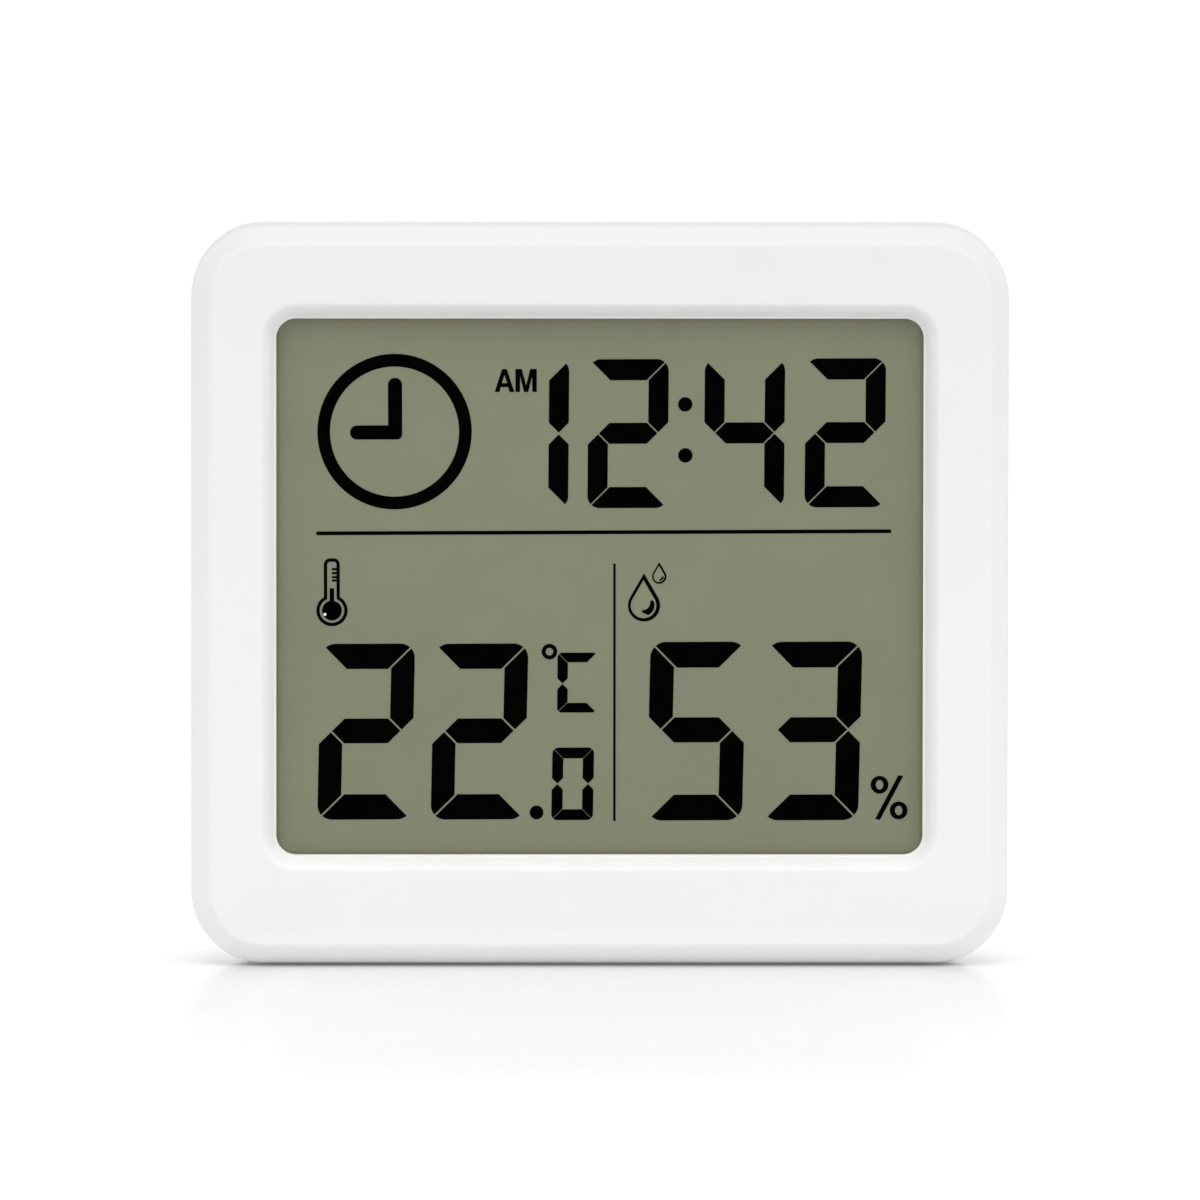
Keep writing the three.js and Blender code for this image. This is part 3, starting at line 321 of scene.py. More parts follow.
def shade_along_foot(tree, axes):
    """How much the sheet is darkened: most along the foot, wider and fainter under the round corners."""
    away = number_step(tree, "ABSOLUTE", number_step(tree, "SUBTRACT", axes["Y"], FOOT_FRONT_Y), 0)
    aside = number_step(tree, "ABSOLUTE", axes["X"], 0)
    corner = (FOOT_SHADE_FULL_X, FOOT_SHADE_NONE_X)
    halves = spread(tree, aside, FOOT_SHADE_HALVES_MM * MM, CORNER_SHADE_HALVES_MM * MM, *corner)
    left_over = number_step(tree, "POWER", 0.5, number_step(tree, "DIVIDE", away, halves))
    return number_step(tree, "MULTIPLY", spread(tree, aside, FOOT_SHADE, 0.0, *corner), left_over)


def sheet_with_glow_and_painted_shadow():
    material, tree, shader = new_finish("sheet_with_glow_and_painted_shadow")
    tooth = grain(tree, SHEET_TOOTH_MM)
    axes = axes_of_piece(tree)
    depth = axes["Y"]
    clean = two_tone(tree, tooth, *SHEET_WHITES)
    # Painted shadow along the foot: the sheet's white is tinted toward near black there.
    white = tint(tree, clean, shade_along_foot(tree, axes), FOOT_SHADE_TONE)
    glow = spread(tree, depth, GLOW_NEAR, GLOW_FAR, GLOW_NEAR_Y, GLOW_FAR_Y)
    lacquer = spread(tree, depth, 0.0, LACQUER, LACQUER_FROM_Y, LACQUER_FULL_Y)
    tree.links.new(white, shader.inputs["Base Color"])
    tree.links.new(spread(tree, tooth, *SHEET_ROUGH), shader.inputs["Roughness"])
    tree.links.new(glow, shader.inputs["Emission Strength"])
    tree.links.new(lacquer, shader.inputs["Coat Weight"])
    tree.links.new(spread(tree, tooth, *LACQUER_ROUGH), shader.inputs["Coat Roughness"])
    shader.inputs["Emission Color"].default_value = (1, 1, 1, 1)
    shader.inputs["Specular IOR Level"].default_value = 0.1
    return material


studio_sheet.data.materials.append(sheet_with_glow_and_painted_shadow())
print("glow from", GLOW_NEAR, "to", GLOW_FAR, "on", studio_sheet.name)

# %% [markdown]
# Moulded edges are never razor sharp: the mould itself has a small radius, and that radius is what
# catches the light. The solids keep their true corners, so a bevel modifier rounds each sharp edge by
# a few hundredths of a millimetre, and weighted normals keep the broad faces looking flat. The weld
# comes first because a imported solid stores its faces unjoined.

# %% Soften the edges of every solid
EDGE_ROUND_MM = 0.05
EDGE_ANGLE_DEG = 28
EDGE_STEPS = 2
SAME_POINT_MM = 0.0005
FLAT_FACE_WEIGHT = 100


def soften_edges(piece):
    for face in piece.data.polygons:
        face.use_smooth = True
    weld = piece.modifiers.new("join_faces", "WELD")
    weld.merge_threshold = SAME_POINT_MM * MM
    bevel = piece.modifiers.new("mould_radius", "BEVEL")
    bevel.width = EDGE_ROUND_MM * MM
    bevel.segments = EDGE_STEPS
    bevel.limit_method = "ANGLE"
    bevel.angle_limit = math.radians(EDGE_ANGLE_DEG)
    flat = piece.modifiers.new("flat_faces", "WEIGHTED_NORMAL")
    flat.weight = FLAT_FACE_WEIGHT
    flat.keep_sharp = False


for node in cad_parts.values():
    soften_edges(node)
print("edges softened on", len(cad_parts), "solids")

# %% [markdown]
# Each material of the real one is made once and put on every solid that is made of it. By hand that
# means clicking through the solids one by one, so a helper takes the finish and the names instead, and
# clears whatever finish the solids came with. It also prints them, as a list of materials to read.

# %% Give a finish to solids
def dress(material, *names):
    """Puts one finish on the named solids."""
    for name in names:
        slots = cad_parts[name].data.materials
        slots.clear()
        slots.append(material)
    print(material.name, "on", ", ".join(names))


print("ready to dress", len(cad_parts), "solids")

# %% [markdown]
# The case is white styrene plastic from a mould whose walls were lightly spark eroded, so its surface has
# a very fine even matte grain with no pattern in it. Up close it isn't one white either: it is a little
# uneven where it flowed. Two noises do this, one the size of the grain and one as broad as a finger. On
# top of that come two tints by height that are painted light: the white is lighter toward the foot, and
# lighter still on the lowest few millimetres, as if more light reached the lower case than the lamps give.

# %% White moulded plastic
CASE_GRAIN_MM = 0.12
CASE_FLOW_MM = 18
CASE_TOP_Z = cad_box[1][2]
PAINTED_BASE_LIGHT_MM = 3.4
PAINTED_BASE_LIGHT = (0.96, 0.96, 0.957)


def moulded_white(name, dark, light, painted_low_light, roughness, grain_depth_mm):
    material, tree, shader = new_finish(name)
    flow = grain(tree, CASE_FLOW_MM, detail=2.0)
    sparks = grain(tree, CASE_GRAIN_MM, detail=2.0)
    height = axes_of_piece(tree)["Z"]
    # Painted light by height: lighter toward the foot, and more so on the lowest few millimetres.
    low_light_share = spread(tree, height, 1.0, 0.0, 0.0, CASE_TOP_Z)
    base_light_share = spread(tree, height, 1.0, 0.0, 0.0, PAINTED_BASE_LIGHT_MM * MM)
    shaded = tint(tree, two_tone(tree, flow, dark, light), low_light_share, painted_low_light)
    tree.links.new(tint(tree, shaded, base_light_share, PAINTED_BASE_LIGHT), shader.inputs["Base Color"])
    tree.links.new(spread(tree, sparks, *roughness), shader.inputs["Roughness"])
    tree.links.new(relief(tree, sparks, grain_depth_mm), shader.inputs["Normal"])
    shader.inputs["Specular IOR Level"].default_value = 0.4
    return material


case_white = moulded_white(
    "case_white",
    dark=(0.780, 0.771, 0.774),
    light=(0.792, 0.783, 0.786),
    painted_low_light=(0.873, 0.871, 0.871),
    roughness=(0.46, 0.56),
    grain_depth_mm=0.004,
)
key_white = moulded_white(
    "key_white",
    dark=(0.780, 0.779, 0.777),
    light=(0.796, 0.795, 0.794),
    painted_low_light=(0.800, 0.799, 0.798),
    roughness=(0.38, 0.46),
    grain_depth_mm=0.003,
)
dress(case_white, "front_case", "rear_cover", "stand_leg", "battery_door")
dress(key_white, "set_button", "adjust_button")

# %% [markdown]
# What shows in the window is the front polariser, a plastic film over the glass. With the reflector behind
# it, it looks an even grey green. Close to the window's edge it is painted darker, and right at the edge
# darker and browner still: painted shade, where the rim of the window shades the film. The tint there is
# mixed by the distance from the nearest side of the window, measured on the film itself, so it stays put
# from every side.

# %% The display film
WINDOW_WIDE_MM = 62.5
WINDOW_TALL_MM = 51.9
WINDOW_MID_Z_MM = 36.45
FILM_GREENS = ((0.202, 0.214, 0.140), (0.212, 0.225, 0.147))
FILM_ROUGH = (0.42, 0.50)
FILM_CLOUD_MM = 6.0
FILM_HAZE_MM = 0.05
FILM_HAZE_DEEP_MM = 0.001
# Painted shade near the window's rim: RIM_SHADE darkens the film within RIM_SHADE_MM, RIM_BROWN darkens
# and browns it within RIM_BROWN_MM.
RIM_SHADE = 0.25
RIM_SHADE_MM = 1.4
RIM_SHADE_TONE = (0.154, 0.150, 0.089)
RIM_BROWN = 0.55
RIM_BROWN_MM = 0.45
RIM_BROWN_TONE = (0.130, 0.115, 0.075)


def distance_to_rim(tree):
    """Metres from the nearest side of the window, on the film."""
    axes = axes_of_piece(tree)
    aside = number_step(tree, "ABSOLUTE", axes["X"], 0)
    height = number_step(tree, "SUBTRACT", axes["Z"], WINDOW_MID_Z_MM * MM)
    upward = number_step(tree, "ABSOLUTE", height, 0)
    left_over_x = number_step(tree, "SUBTRACT", WINDOW_WIDE_MM / 2 * MM, aside)
    left_over_z = number_step(tree, "SUBTRACT", WINDOW_TALL_MM / 2 * MM, upward)
    return number_step(tree, "MINIMUM", left_over_x, left_over_z)


def polariser_film():
    material, tree, shader = new_finish("polariser_film")
    rim = distance_to_rim(tree)
    haze = grain(tree, FILM_HAZE_MM, detail=2.0)
    green = two_tone(tree, grain(tree, FILM_CLOUD_MM, detail=4.0), *FILM_GREENS)
    rim_shade_share = spread(tree, rim, RIM_SHADE, 0.0, 0.0, RIM_SHADE_MM * MM)
    rim_brown_shade_share = spread(tree, rim, RIM_BROWN, 0.0, 0.0, RIM_BROWN_MM * MM)
    shaded = tint(tree, green, rim_shade_share, RIM_SHADE_TONE)
    tree.links.new(tint(tree, shaded, rim_brown_shade_share, RIM_BROWN_TONE), shader.inputs["Base Color"])
    tree.links.new(spread(tree, haze, *FILM_ROUGH), shader.inputs["Roughness"])
    tree.links.new(relief(tree, haze, FILM_HAZE_DEEP_MM), shader.inputs["Normal"])
    shader.inputs["Specular IOR Level"].default_value = 0.25
    return material


FILM_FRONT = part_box("lcd_front_polariser")[0].y
dress(polariser_film(), "lcd_front_polariser")
print("film front at", round(FILM_FRONT / MM, 3), "mm")

# %% [markdown]
# A figure on this display is liquid crystal that has turned dark between two glasses. It is drawn as
# thin plates of ink that stand two hundredths of a millimetre proud of the film, so they are real
# closed pieces with an edge, and yet lie flat from every side. Text objects could give the letters,
# but a display's figures are cut from straight bars, and a few arcs and bars make every sign here.
# All places on the picture are in millimetres from the middle of the window. The glass sits a trace
# askew behind the window, so the whole picture is turned by about a quarter of a degree.

# %% The ink and how a plate of it is made
INK_PROUD_MM = 0.02
INK_SUNK_MM = 0.005
INK_CLOUD_MM = 2.0
INK_BLACKS = ((0.0004, 0.0008, 0.0005), (0.0010, 0.0016, 0.0011))
INK_ROUGH = (0.5, 0.6)
PICTURE_TURN_DEG = 0.23


def crystal_ink():
    material, tree, shader = new_finish("crystal_ink")
    cloud = grain(tree, INK_CLOUD_MM, detail=4.0)
    tree.links.new(two_tone(tree, cloud, *INK_BLACKS), shader.inputs["Base Color"])
    tree.links.new(spread(tree, cloud, *INK_ROUGH), shader.inputs["Roughness"])
    shader.inputs["Specular IOR Level"].default_value = 0.0
    return material


def on_film(x_mm, z_mm, y):
    """A point of the picture as a point in space, at depth y."""
    turn = math.radians(PICTURE_TURN_DEG)
    x = x_mm * math.cos(turn) - z_mm * math.sin(turn)
    z = x_mm * math.sin(turn) + z_mm * math.cos(turn)
    return x * MM, y, (z + WINDOW_MID_Z_MM) * MM


def plate_of_ink(name, shapes, material):
    """One piece made of flat shapes. Each shape is its outline, followed by the holes in it."""
    solid = bmesh.new()
    for loops in shapes:
        points = [point for loop in loops for point in loop]
        front = [solid.verts.new(on_film(x, z, FILM_FRONT - INK_PROUD_MM * MM)) for x, z in points]
        back = [solid.verts.new(on_film(x, z, FILM_FRONT + INK_SUNK_MM * MM)) for x, z in points]
        for corners in tessellate_polygon([[Vector((x, z, 0)) for x, z in loop] for loop in loops]):
            solid.faces.new([front[i] for i in corners])
            solid.faces.new([back[i] for i in reversed(corners)])
        start = 0
        for loop in loops:
            ring = list(range(start, start + len(loop)))
            for here, there in zip(ring, ring[1:] + ring[:1]):
                solid.faces.new((front[here], front[there], back[there], back[here]))
            start += len(loop)
    bmesh.ops.recalc_face_normals(solid, faces=solid.faces)
    mesh = bpy.data.meshes.new(name)
    solid.to_mesh(mesh)
    solid.free()
    mesh.materials.append(material)
    piece = bpy.data.objects.new(name, mesh)
    bpy.context.scene.collection.objects.link(piece)
    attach(piece, "case")
    return piece


INK = crystal_ink()
print("ink ready:", INK.name)

# %% [markdown]
# The signs need three outlines again and again: an arc, a full ring and a bar with round ends. They
# are lists of points worked out from a middle, a size and two angles, which is all that a draughtsman
# would write down for them.

# %% Arcs, ovals and bars
ARC_STEP_DEG = 5
ARC_LEAST_STEPS = 3


def arc(mid, radius, start_deg, end_deg, tall=1.0):
    """Points along an arc; tall stretches it upward into an oval."""
    steps = max(ARC_LEAST_STEPS, round(abs(end_deg - start_deg) / ARC_STEP_DEG))
    turns = [math.radians(start_deg + (end_deg - start_deg) * i / steps) for i in range(steps + 1)]
    return [(mid[0] + radius * math.cos(t), mid[1] + radius * tall * math.sin(t)) for t in turns]


def oval(mid, radius, tall=1.0):
    return arc(mid, radius, 0, 360 - ARC_STEP_DEG, tall)


def round_bar(start, end, thick):
    """A straight bar with round ends."""
    lean = math.degrees(math.atan2(end[1] - start[1], end[0] - start[0]))
    return arc(end, thick / 2, lean - 90, lean + 90) + arc(start, thick / 2, lean + 90, lean + 270)


print("a full ring has", len(oval((0, 0), 1)), "points")

# %% [markdown]
# The figures are the seven bars that every such display has. Cutting them out one by one would mean
# many loose corner points, so a figure starts as one rounded box, and each bar is what is left of that
# box after a few straight cuts: the inside edge of the bar, and the slanted ends where two bars meet
# with a hair of light between them. The lower bars are the upper ones turned upside down.

# %% Seven bar figures
BARS_OF = {"0": "abcdef", "1": "bc", "2": "abged", "3": "abgcd", "4": "fgbc", "5": "afgcd", "C": "afed"}
UPSIDE_DOWN = {"d": "a", "c": "b", "e": "f"}


def cut(outline, x_way, z_way, least):
    """The part of a convex outline where x * x_way + z * z_way is at least that much."""
    kept = []
    for here, there in zip(outline, outline[1:] + outline[:1]):
        over = here[0] * x_way + here[1] * z_way - least
        next_over = there[0] * x_way + there[1] * z_way - least
        if over >= 0:
            kept.append(here)
        if over * next_over < 0:
            share = over / (over - next_over)
            kept.append((here[0] + (there[0] - here[0]) * share, here[1] + (there[1] - here[1]) * share))
    return kept


def rounded_box(wide, tall, radius):
    corners = ((wide - radius, tall - radius, 0), (radius, tall - radius, 90), (radius, radius, 180))
    corners += ((wide - radius, radius, 270),)
    return [point for x, z, turn in corners for point in arc((x, z), radius, turn, turn + 90)]


def figure_bar(bar, wide, tall, lying, standing, waist, lift, gap, radius):
    """One of the seven bars. Lying, standing and waist are the thicknesses of the bars at top and foot,
    at the sides and in the middle; lift is how far the middle one sits above half height, and gap the
    light between two bars."""
    half_gap = gap / math.sqrt(2)
    mid = tall / 2 - lift if bar in UPSIDE_DOWN else tall / 2 + lift
    left = standing / 2
    right = wide - standing / 2
    cuts = {
        "a": ((0, 1, tall - lying), (1, 1, tall + half_gap), (-1, 1, tall - wide + half_gap)),
        "b": ((1, 0, wide - standing), (1, -1, wide - tall + half_gap),
              (-1, 1, mid - right + half_gap), (1, 1, mid + right + half_gap)),
        "f": ((-1, 0, -standing), (-1, -1, half_gap - tall),
              (-1, 1, mid - left + half_gap), (1, 1, mid + left + half_gap)),
        "g": ((0, 1, mid - waist / 2), (0, -1, -mid - waist / 2),
              (1, -1, left - mid + half_gap), (1, 1, left + mid + half_gap),
              (-1, 1, mid - right + half_gap), (-1, -1, half_gap - right - mid)),
    }
    outline = rounded_box(wide, tall, radius)
    for x_way, z_way, least in cuts[UPSIDE_DOWN.get(bar, bar)]:
        outline = cut(outline, x_way, z_way, least)
    if bar in UPSIDE_DOWN:
        outline = [(x, tall - z) for x, z in reversed(outline)]
    return outline


def figure(name, shown, left, foot, size, lean_deg):
    """A figure with its lower left corner at (left, foot), leaning about its own middle."""
    lean = math.tan(math.radians(lean_deg))
    shapes = []
    for bar in BARS_OF[shown]:
        outline = figure_bar(bar, **size)
        shapes.append([[(left + x + (z - size["tall"] / 2) * lean, foot + z) for x, z in outline]])
    return plate_of_ink(name, shapes, INK)


print("figures known:", " ".join(BARS_OF))

# %% [markdown]
# The time stands in the upper half. Its four figures share one size, and the two dots between hours
# and minutes go on and off together on such a display, so they are one piece.

# %% The time
TIME_SIZE = {
    "wide": 7.75, "tall": 14.40, "lying": 2.035, "standing": 1.93,
    "waist": 2.02, "lift": 0.033, "gap": 0.13, "radius": 1.2,
}
TIME_LEAN_DEG = 0.65
TIME_FOOT = 7.575
TIME_FIGURES = (("hour_tens", "1", -10.70), ("hour_ones", "2", -1.09),
                ("minute_tens", "4", 10.15), ("minute_ones", "2", 19.89))
COLON_X = 8.31
COLON_ZS = (17.59, 12.65)
COLON_R = 0.695

for name, shown, left in TIME_FIGURES:
    figure("figure_" + name, shown, left, TIME_FOOT, TIME_SIZE, TIME_LEAN_DEG)
colon = plate_of_ink("colon", [[oval((COLON_X, z), COLON_R)] for z in COLON_ZS], INK)
print("time of", len(TIME_FIGURES), "figures and", colon.name)

# %% [markdown]
# Left of the time are a small clock face, whose two hands are one bent bar, and the two letters that
# tell morning from afternoon. The letters are plain block letters: straight strokes of one thickness.

# %% The clock sign and the morning letters
CLOCK_MID = (-19.77, 15.05)
CLOCK_R = 7.455
CLOCK_HOLE_R = 6.235
CLOCK_STRETCH = 1.009
HANDS_MID = (-19.71, 14.98)
HAND_UP = 5.27
HAND_LEFT = 4.36
HAND_HALF = 0.68
HAND_CORNER_R = 0.5
LETTER_TALL = 2.22
LETTER_FOOT = 18.845
LETTER_MIDS = (-9.14, -7.05)


def clock_hands():
    """The outline of two hands that meet at a right angle, anticlockwise from the corner."""
    x, z = HANDS_MID
    corner = (x + HAND_HALF - HAND_CORNER_R, z - HAND_HALF + HAND_CORNER_R)
    outline = arc(corner, HAND_CORNER_R, -90, 0)
    outline += arc((x, z + HAND_UP - HAND_HALF), HAND_HALF, 0, 180)
    outline.append((x - HAND_HALF, z + HAND_HALF))
    outline += arc((x - HAND_LEFT + HAND_HALF, z), HAND_HALF, 90, 270)
    return outline


def letter_a(mid_x):
    """Two leaning strokes and a bar: half of the outline, its mirror image and the small hole."""
    half, top_half, stroke = 0.95, 0.225, 0.46
    bar_low, bar_half = 0.47, 0.36
    hole_low, hole_half, hole_top = 0.86, 0.26, 1.64
    right = [(bar_half, bar_low), (half - stroke, 0), (half, 0), (top_half, LETTER_TALL)]
    outline = right + [(-x, z) for x, z in reversed(right)]
    hole = [(0, hole_top), (-hole_half, hole_low), (hole_half, hole_low)]
    return [[(mid_x + x, LETTER_FOOT + z) for x, z in loop] for loop in (outline, hole)]


def letter_m(mid_x):
    """Two uprights with a wedge between them: half of the outline, then its mirror image."""
    half, stem, shoulder = 1.03, 0.43, 0.41
    notch, fork, fork_half, point = 0.64, 1.50, 0.58, 0.21
    right = [(0, notch), (shoulder, LETTER_TALL), (half, LETTER_TALL), (half, 0), (half - stem, 0)]
    right += [(fork_half, fork), (point, 0)]
    outline = right + [(-x, z) for x, z in reversed(right[1:])]
    return [[(mid_x + x, LETTER_FOOT + z) for x, z in outline]]


clock_ring = [oval(CLOCK_MID, CLOCK_R, CLOCK_STRETCH), oval(CLOCK_MID, CLOCK_HOLE_R, CLOCK_STRETCH)]
plate_of_ink("clock_ring", [clock_ring], INK)
plate_of_ink("clock_hands", [[clock_hands()]], INK)
a_mid, m_mid = LETTER_MIDS
morning = plate_of_ink("morning_letters", [letter_a(a_mid), letter_m(m_mid)], INK)
print("clock sign and", morning.name)

# %% [markdown]
# Two thin rules divide the display: one under the time, and one between temperature and humidity that
# leans with the figures.

# %% The two rules
LYING_RULE = ((-27.21, 5.24), (28.03, 5.24), 0.36)
STANDING_RULE_TOP = (1.435, 2.21)
STANDING_RULE_FOOT = (1.355, -22.75)
STANDING_RULE_HALF = 0.113

(top_x, top_z), (foot_x, foot_z) = STANDING_RULE_TOP, STANDING_RULE_FOOT
standing_rule = [(foot_x - STANDING_RULE_HALF, foot_z), (foot_x + STANDING_RULE_HALF, foot_z)]
standing_rule += [(top_x + STANDING_RULE_HALF, top_z), (top_x - STANDING_RULE_HALF, top_z)]
plate_of_ink("lying_rule", [[round_bar(*LYING_RULE)]], INK)
plate_of_ink("standing_rule", [[standing_rule]], INK)
print("rules", LYING_RULE[2], "and", 2 * STANDING_RULE_HALF, "mm thick")

# %% [markdown]
# The temperature fills the lower left: two large figures, a small one after the point, and the degree
# sign with its letter. The large figures lean a little more than those of the time.

# %% The temperature
WARMTH_SIZE = {
    "wide": 9.10, "tall": 17.035, "lying": 2.44, "standing": 2.26,
    "waist": 2.39, "lift": 0.071, "gap": 0.17, "radius": 1.42,
}
WARMTH_LEAN_DEG = 1.40
WARMTH_LEFTS = (-27.17, -16.215)
WARMTH_FEET = (-22.505, -22.535)
TENTH_SIZE = {
    "wide": 4.025, "tall": 7.025, "lying": 1.04, "standing": 1.065,
    "waist": 1.04, "lift": 0.0, "gap": 0.045, "radius": 0.60,
}
TENTH_LEAN_DEG = 1.2
TENTH_PLACE = (-4.68, -22.635)
SCALE_SIZE = {
    "wide": 3.81, "tall": 5.795, "lying": 0.927, "standing": 1.0,
    "waist": 0.927, "lift": -0.11, "gap": 0.05, "radius": 0.45,
}
SCALE_LEAN_DEG = 0.8
SCALE_PLACE = (-4.12, -12.205)
POINT_MID = (-6.17, -21.89)
POINT_R = 0.665
DEGREE_MID = (-4.875, -6.30)
DEGREE_R = 0.755
DEGREE_HOLE_R = 0.365

for name, left, foot in zip(("tens", "ones"), WARMTH_LEFTS, WARMTH_FEET):
    figure("figure_degree_" + name, "2", left, foot, WARMTH_SIZE, WARMTH_LEAN_DEG)
figure("figure_degree_tenths", "0", *TENTH_PLACE, TENTH_SIZE, TENTH_LEAN_DEG)
figure("degree_letter", "C", *SCALE_PLACE, SCALE_SIZE, SCALE_LEAN_DEG)
plate_of_ink("degree_ring", [[oval(DEGREE_MID, DEGREE_R), oval(DEGREE_MID, DEGREE_HOLE_R)]], INK)
plate_of_ink("decimal_point", [[oval(POINT_MID, POINT_R)]], INK)
print("temperature figures", WARMTH_SIZE["tall"], "mm tall")

# %% [markdown]
# Above the temperature stands a thermometer: a line round a bulb and a tube, the filled bulb with its
# column, four short marks on the tube, and a speck of light on the bulb. One function draws bulb and
# tube at any size, so the line is the large outline with the smaller one as its hole.

# %% The thermometer sign
BULB_MID = (-25.88, -2.24)
BULB_R = 1.51
TUBE_HALF = 0.77
TUBE_TOP = 2.81
TUBE_CORNER_R = 0.60
SIGN_LINE = 0.32
FILL_R = 0.955
COLUMN_HALF = 0.21
COLUMN_TOP = -0.08
COLUMN_CORNER_R = 0.04
TUBE_MARK_ZS = (1.77, 1.38, 0.99, 0.66)
TUBE_MARK = (0.44, 0.215)
GLINT_MID = (-26.56, -2.61)
GLINT_R = 0.14


def bulb_and_tube(bulb, half, top, corner):
    """A bulb with a tube on it, anticlockwise from the tube's left foot; corner rounds the tube's end."""
    shoulder = math.degrees(math.asin(half / bulb))
    outline = arc(BULB_MID, bulb, 90 + shoulder, 450 - shoulder)
    outline += arc((BULB_MID[0] + half - corner, top - corner), corner, 0, 90)
    return outline + arc((BULB_MID[0] - half + corner, top - corner), corner, 90, 180)


def tube_mark(z):
    """A short mark that runs inward from the tube's right wall."""
    long, thick = TUBE_MARK
    wall = BULB_MID[0] + TUBE_HALF - SIGN_LINE
    low, high = z - thick / 2, z + thick / 2
    return [(wall - long, low), (wall, low), (wall, high), (wall - long, high)]


outside = bulb_and_tube(BULB_R, TUBE_HALF, TUBE_TOP, TUBE_CORNER_R)
inner_half, inner_corner = TUBE_HALF - SIGN_LINE, TUBE_CORNER_R - SIGN_LINE
inside = bulb_and_tube(BULB_R - SIGN_LINE, inner_half, TUBE_TOP - SIGN_LINE, inner_corner)
filled = bulb_and_tube(FILL_R, COLUMN_HALF, COLUMN_TOP, COLUMN_CORNER_R)
plate_of_ink("thermometer_line", [[outside, inside]], INK)
plate_of_ink("thermometer_fill", [[filled, oval(GLINT_MID, GLINT_R)]], INK)
plate_of_ink("thermometer_marks", [[tube_mark(z)] for z in TUBE_MARK_ZS], INK)
print("thermometer with", len(TUBE_MARK_ZS), "marks")

# %% [markdown]
# The speck of light on the bulb is the one bright spot of the picture. A hole in the ink would show
# the grey green film, so the hole is filled by a small plate of its own with a white finish.

# %% The speck of light on the bulb
SPECK_CLOUD_MM = 0.3
SPECK_WHITES = ((0.85, 0.85, 0.84), (0.93, 0.93, 0.92))
SPECK_ROUGH = (0.4, 0.5)


def speck_white():
    material, tree, shader = new_finish("speck_white")
    cloud = grain(tree, SPECK_CLOUD_MM)
    tree.links.new(two_tone(tree, cloud, *SPECK_WHITES), shader.inputs["Base Color"])
    tree.links.new(spread(tree, cloud, *SPECK_ROUGH), shader.inputs["Roughness"])
    return material


speck = plate_of_ink("thermometer_speck", [[oval(GLINT_MID, GLINT_R)]], speck_white())
print("speck of", 2 * GLINT_R, "mm")

# %% [markdown]
# Humidity is the lower right, under a sign of two drops. A drop is a circle with two straight sides
# that leave it at a tangent and meet in a point, so its outline follows from the circle and the height
# of the point. The shine inside it is cut from two arcs.

# %% The two drops
DROP_POINT = 2.0
BIG_DROP = {"mid": (4.28, -1.86), "radius": 1.555, "line": 0.32}
SMALL_DROP = {"mid": (5.76, 0.93), "radius": 0.70, "line": 0.17}
SHINE_OUT = (1.01, -68, 25)
SHINE_IN_SHIFT = (-0.16, 0.30)
SHINE_IN = (0.76, 0, -84)
SHINE_END_R = 0.13
SHINE_TOP_TURN = (60, 180)
SHINE_FOOT_TURN = (90, 270)
SMALL_SHINE_R = 0.34
SMALL_SHINE_THICK = 0.17
SMALL_SHINE_TURN = (-92, 5)
DROP_HOLE_SHIFT = -0.16


def drop_outline(mid, radius, shift=0.0):
    """A drop whose point stands DROP_POINT radii over its middle."""
    side = math.degrees(math.acos(1 / DROP_POINT))
    mid = (mid[0] + shift, mid[1])
    return arc(mid, radius, 90 + side, 450 - side) + [(mid[0], mid[1] + radius * DROP_POINT)]


def drop_line(mid, radius, line):
    """A drop drawn as a line that is a little thicker on its right."""
    return [drop_outline(mid, radius), drop_outline(mid, radius - line, shift=DROP_HOLE_SHIFT * line)]


def big_shine(mid):
    """The bean of light inside the large drop, with round ends."""
    out_r, low, high = SHINE_OUT
    in_r, in_high, in_low = SHINE_IN
    inner_mid = (mid[0] + SHINE_IN_SHIFT[0], mid[1] + SHINE_IN_SHIFT[1])
    outline = arc(mid, out_r, low, high)
    inner = arc(inner_mid, in_r, in_high, in_low)
    top_mid = (inner[0][0] + SHINE_END_R, inner[0][1] + SHINE_END_R / 2)
    foot_mid = (inner[-1][0], inner[-1][1] - SHINE_END_R)
    outline += arc(top_mid, SHINE_END_R, *SHINE_TOP_TURN)
    return outline + inner + arc(foot_mid, SHINE_END_R, *SHINE_FOOT_TURN)


def small_shine(mid):
    """A short bent stroke inside the small drop."""
    half = SMALL_SHINE_THICK / 2
    start, end = SMALL_SHINE_TURN
    return arc(mid, SMALL_SHINE_R + half, start, end) + arc(mid, SMALL_SHINE_R - half, end, start)


plate_of_ink("big_drop", [drop_line(**BIG_DROP), [big_shine(BIG_DROP["mid"])]], INK)
plate_of_ink("small_drop", [drop_line(**SMALL_DROP), [small_shine(SMALL_DROP["mid"])]], INK)
print("drops", 2 * BIG_DROP["radius"], "and", 2 * SMALL_DROP["radius"], "mm wide")

# %% [markdown]
# The humidity figures are a trace larger than those of the temperature and lean a little more. The
# percent sign is two small rings and a slash, and each ring is an outline with an oval hole.

# %% The humidity figures and the percent sign
DAMP_SIZE = {
    "wide": 9.26, "tall": 17.305, "lying": 2.49, "standing": 2.32,
    "waist": 2.42, "lift": 0.122, "gap": 0.17, "radius": 1.5,
}
DAMP_LEAN_DEG = 1.55
DAMP_FIGURES = (("figure_percent_tens", "5", 4.675, -22.71), ("figure_percent_ones", "3", 15.905, -22.74))
PERCENT_RINGS = ((27.02, -19.33), (28.87, -21.83))
PERCENT_R = 0.86
PERCENT_HOLE_R = 0.36
PERCENT_HOLE_TALL = 1.29
SLASH_TOP = (29.08, -18.45)
SLASH_FOOT = (26.82, -22.69)
SLASH_HALF = 0.235
SLASH_FALL = 0.04

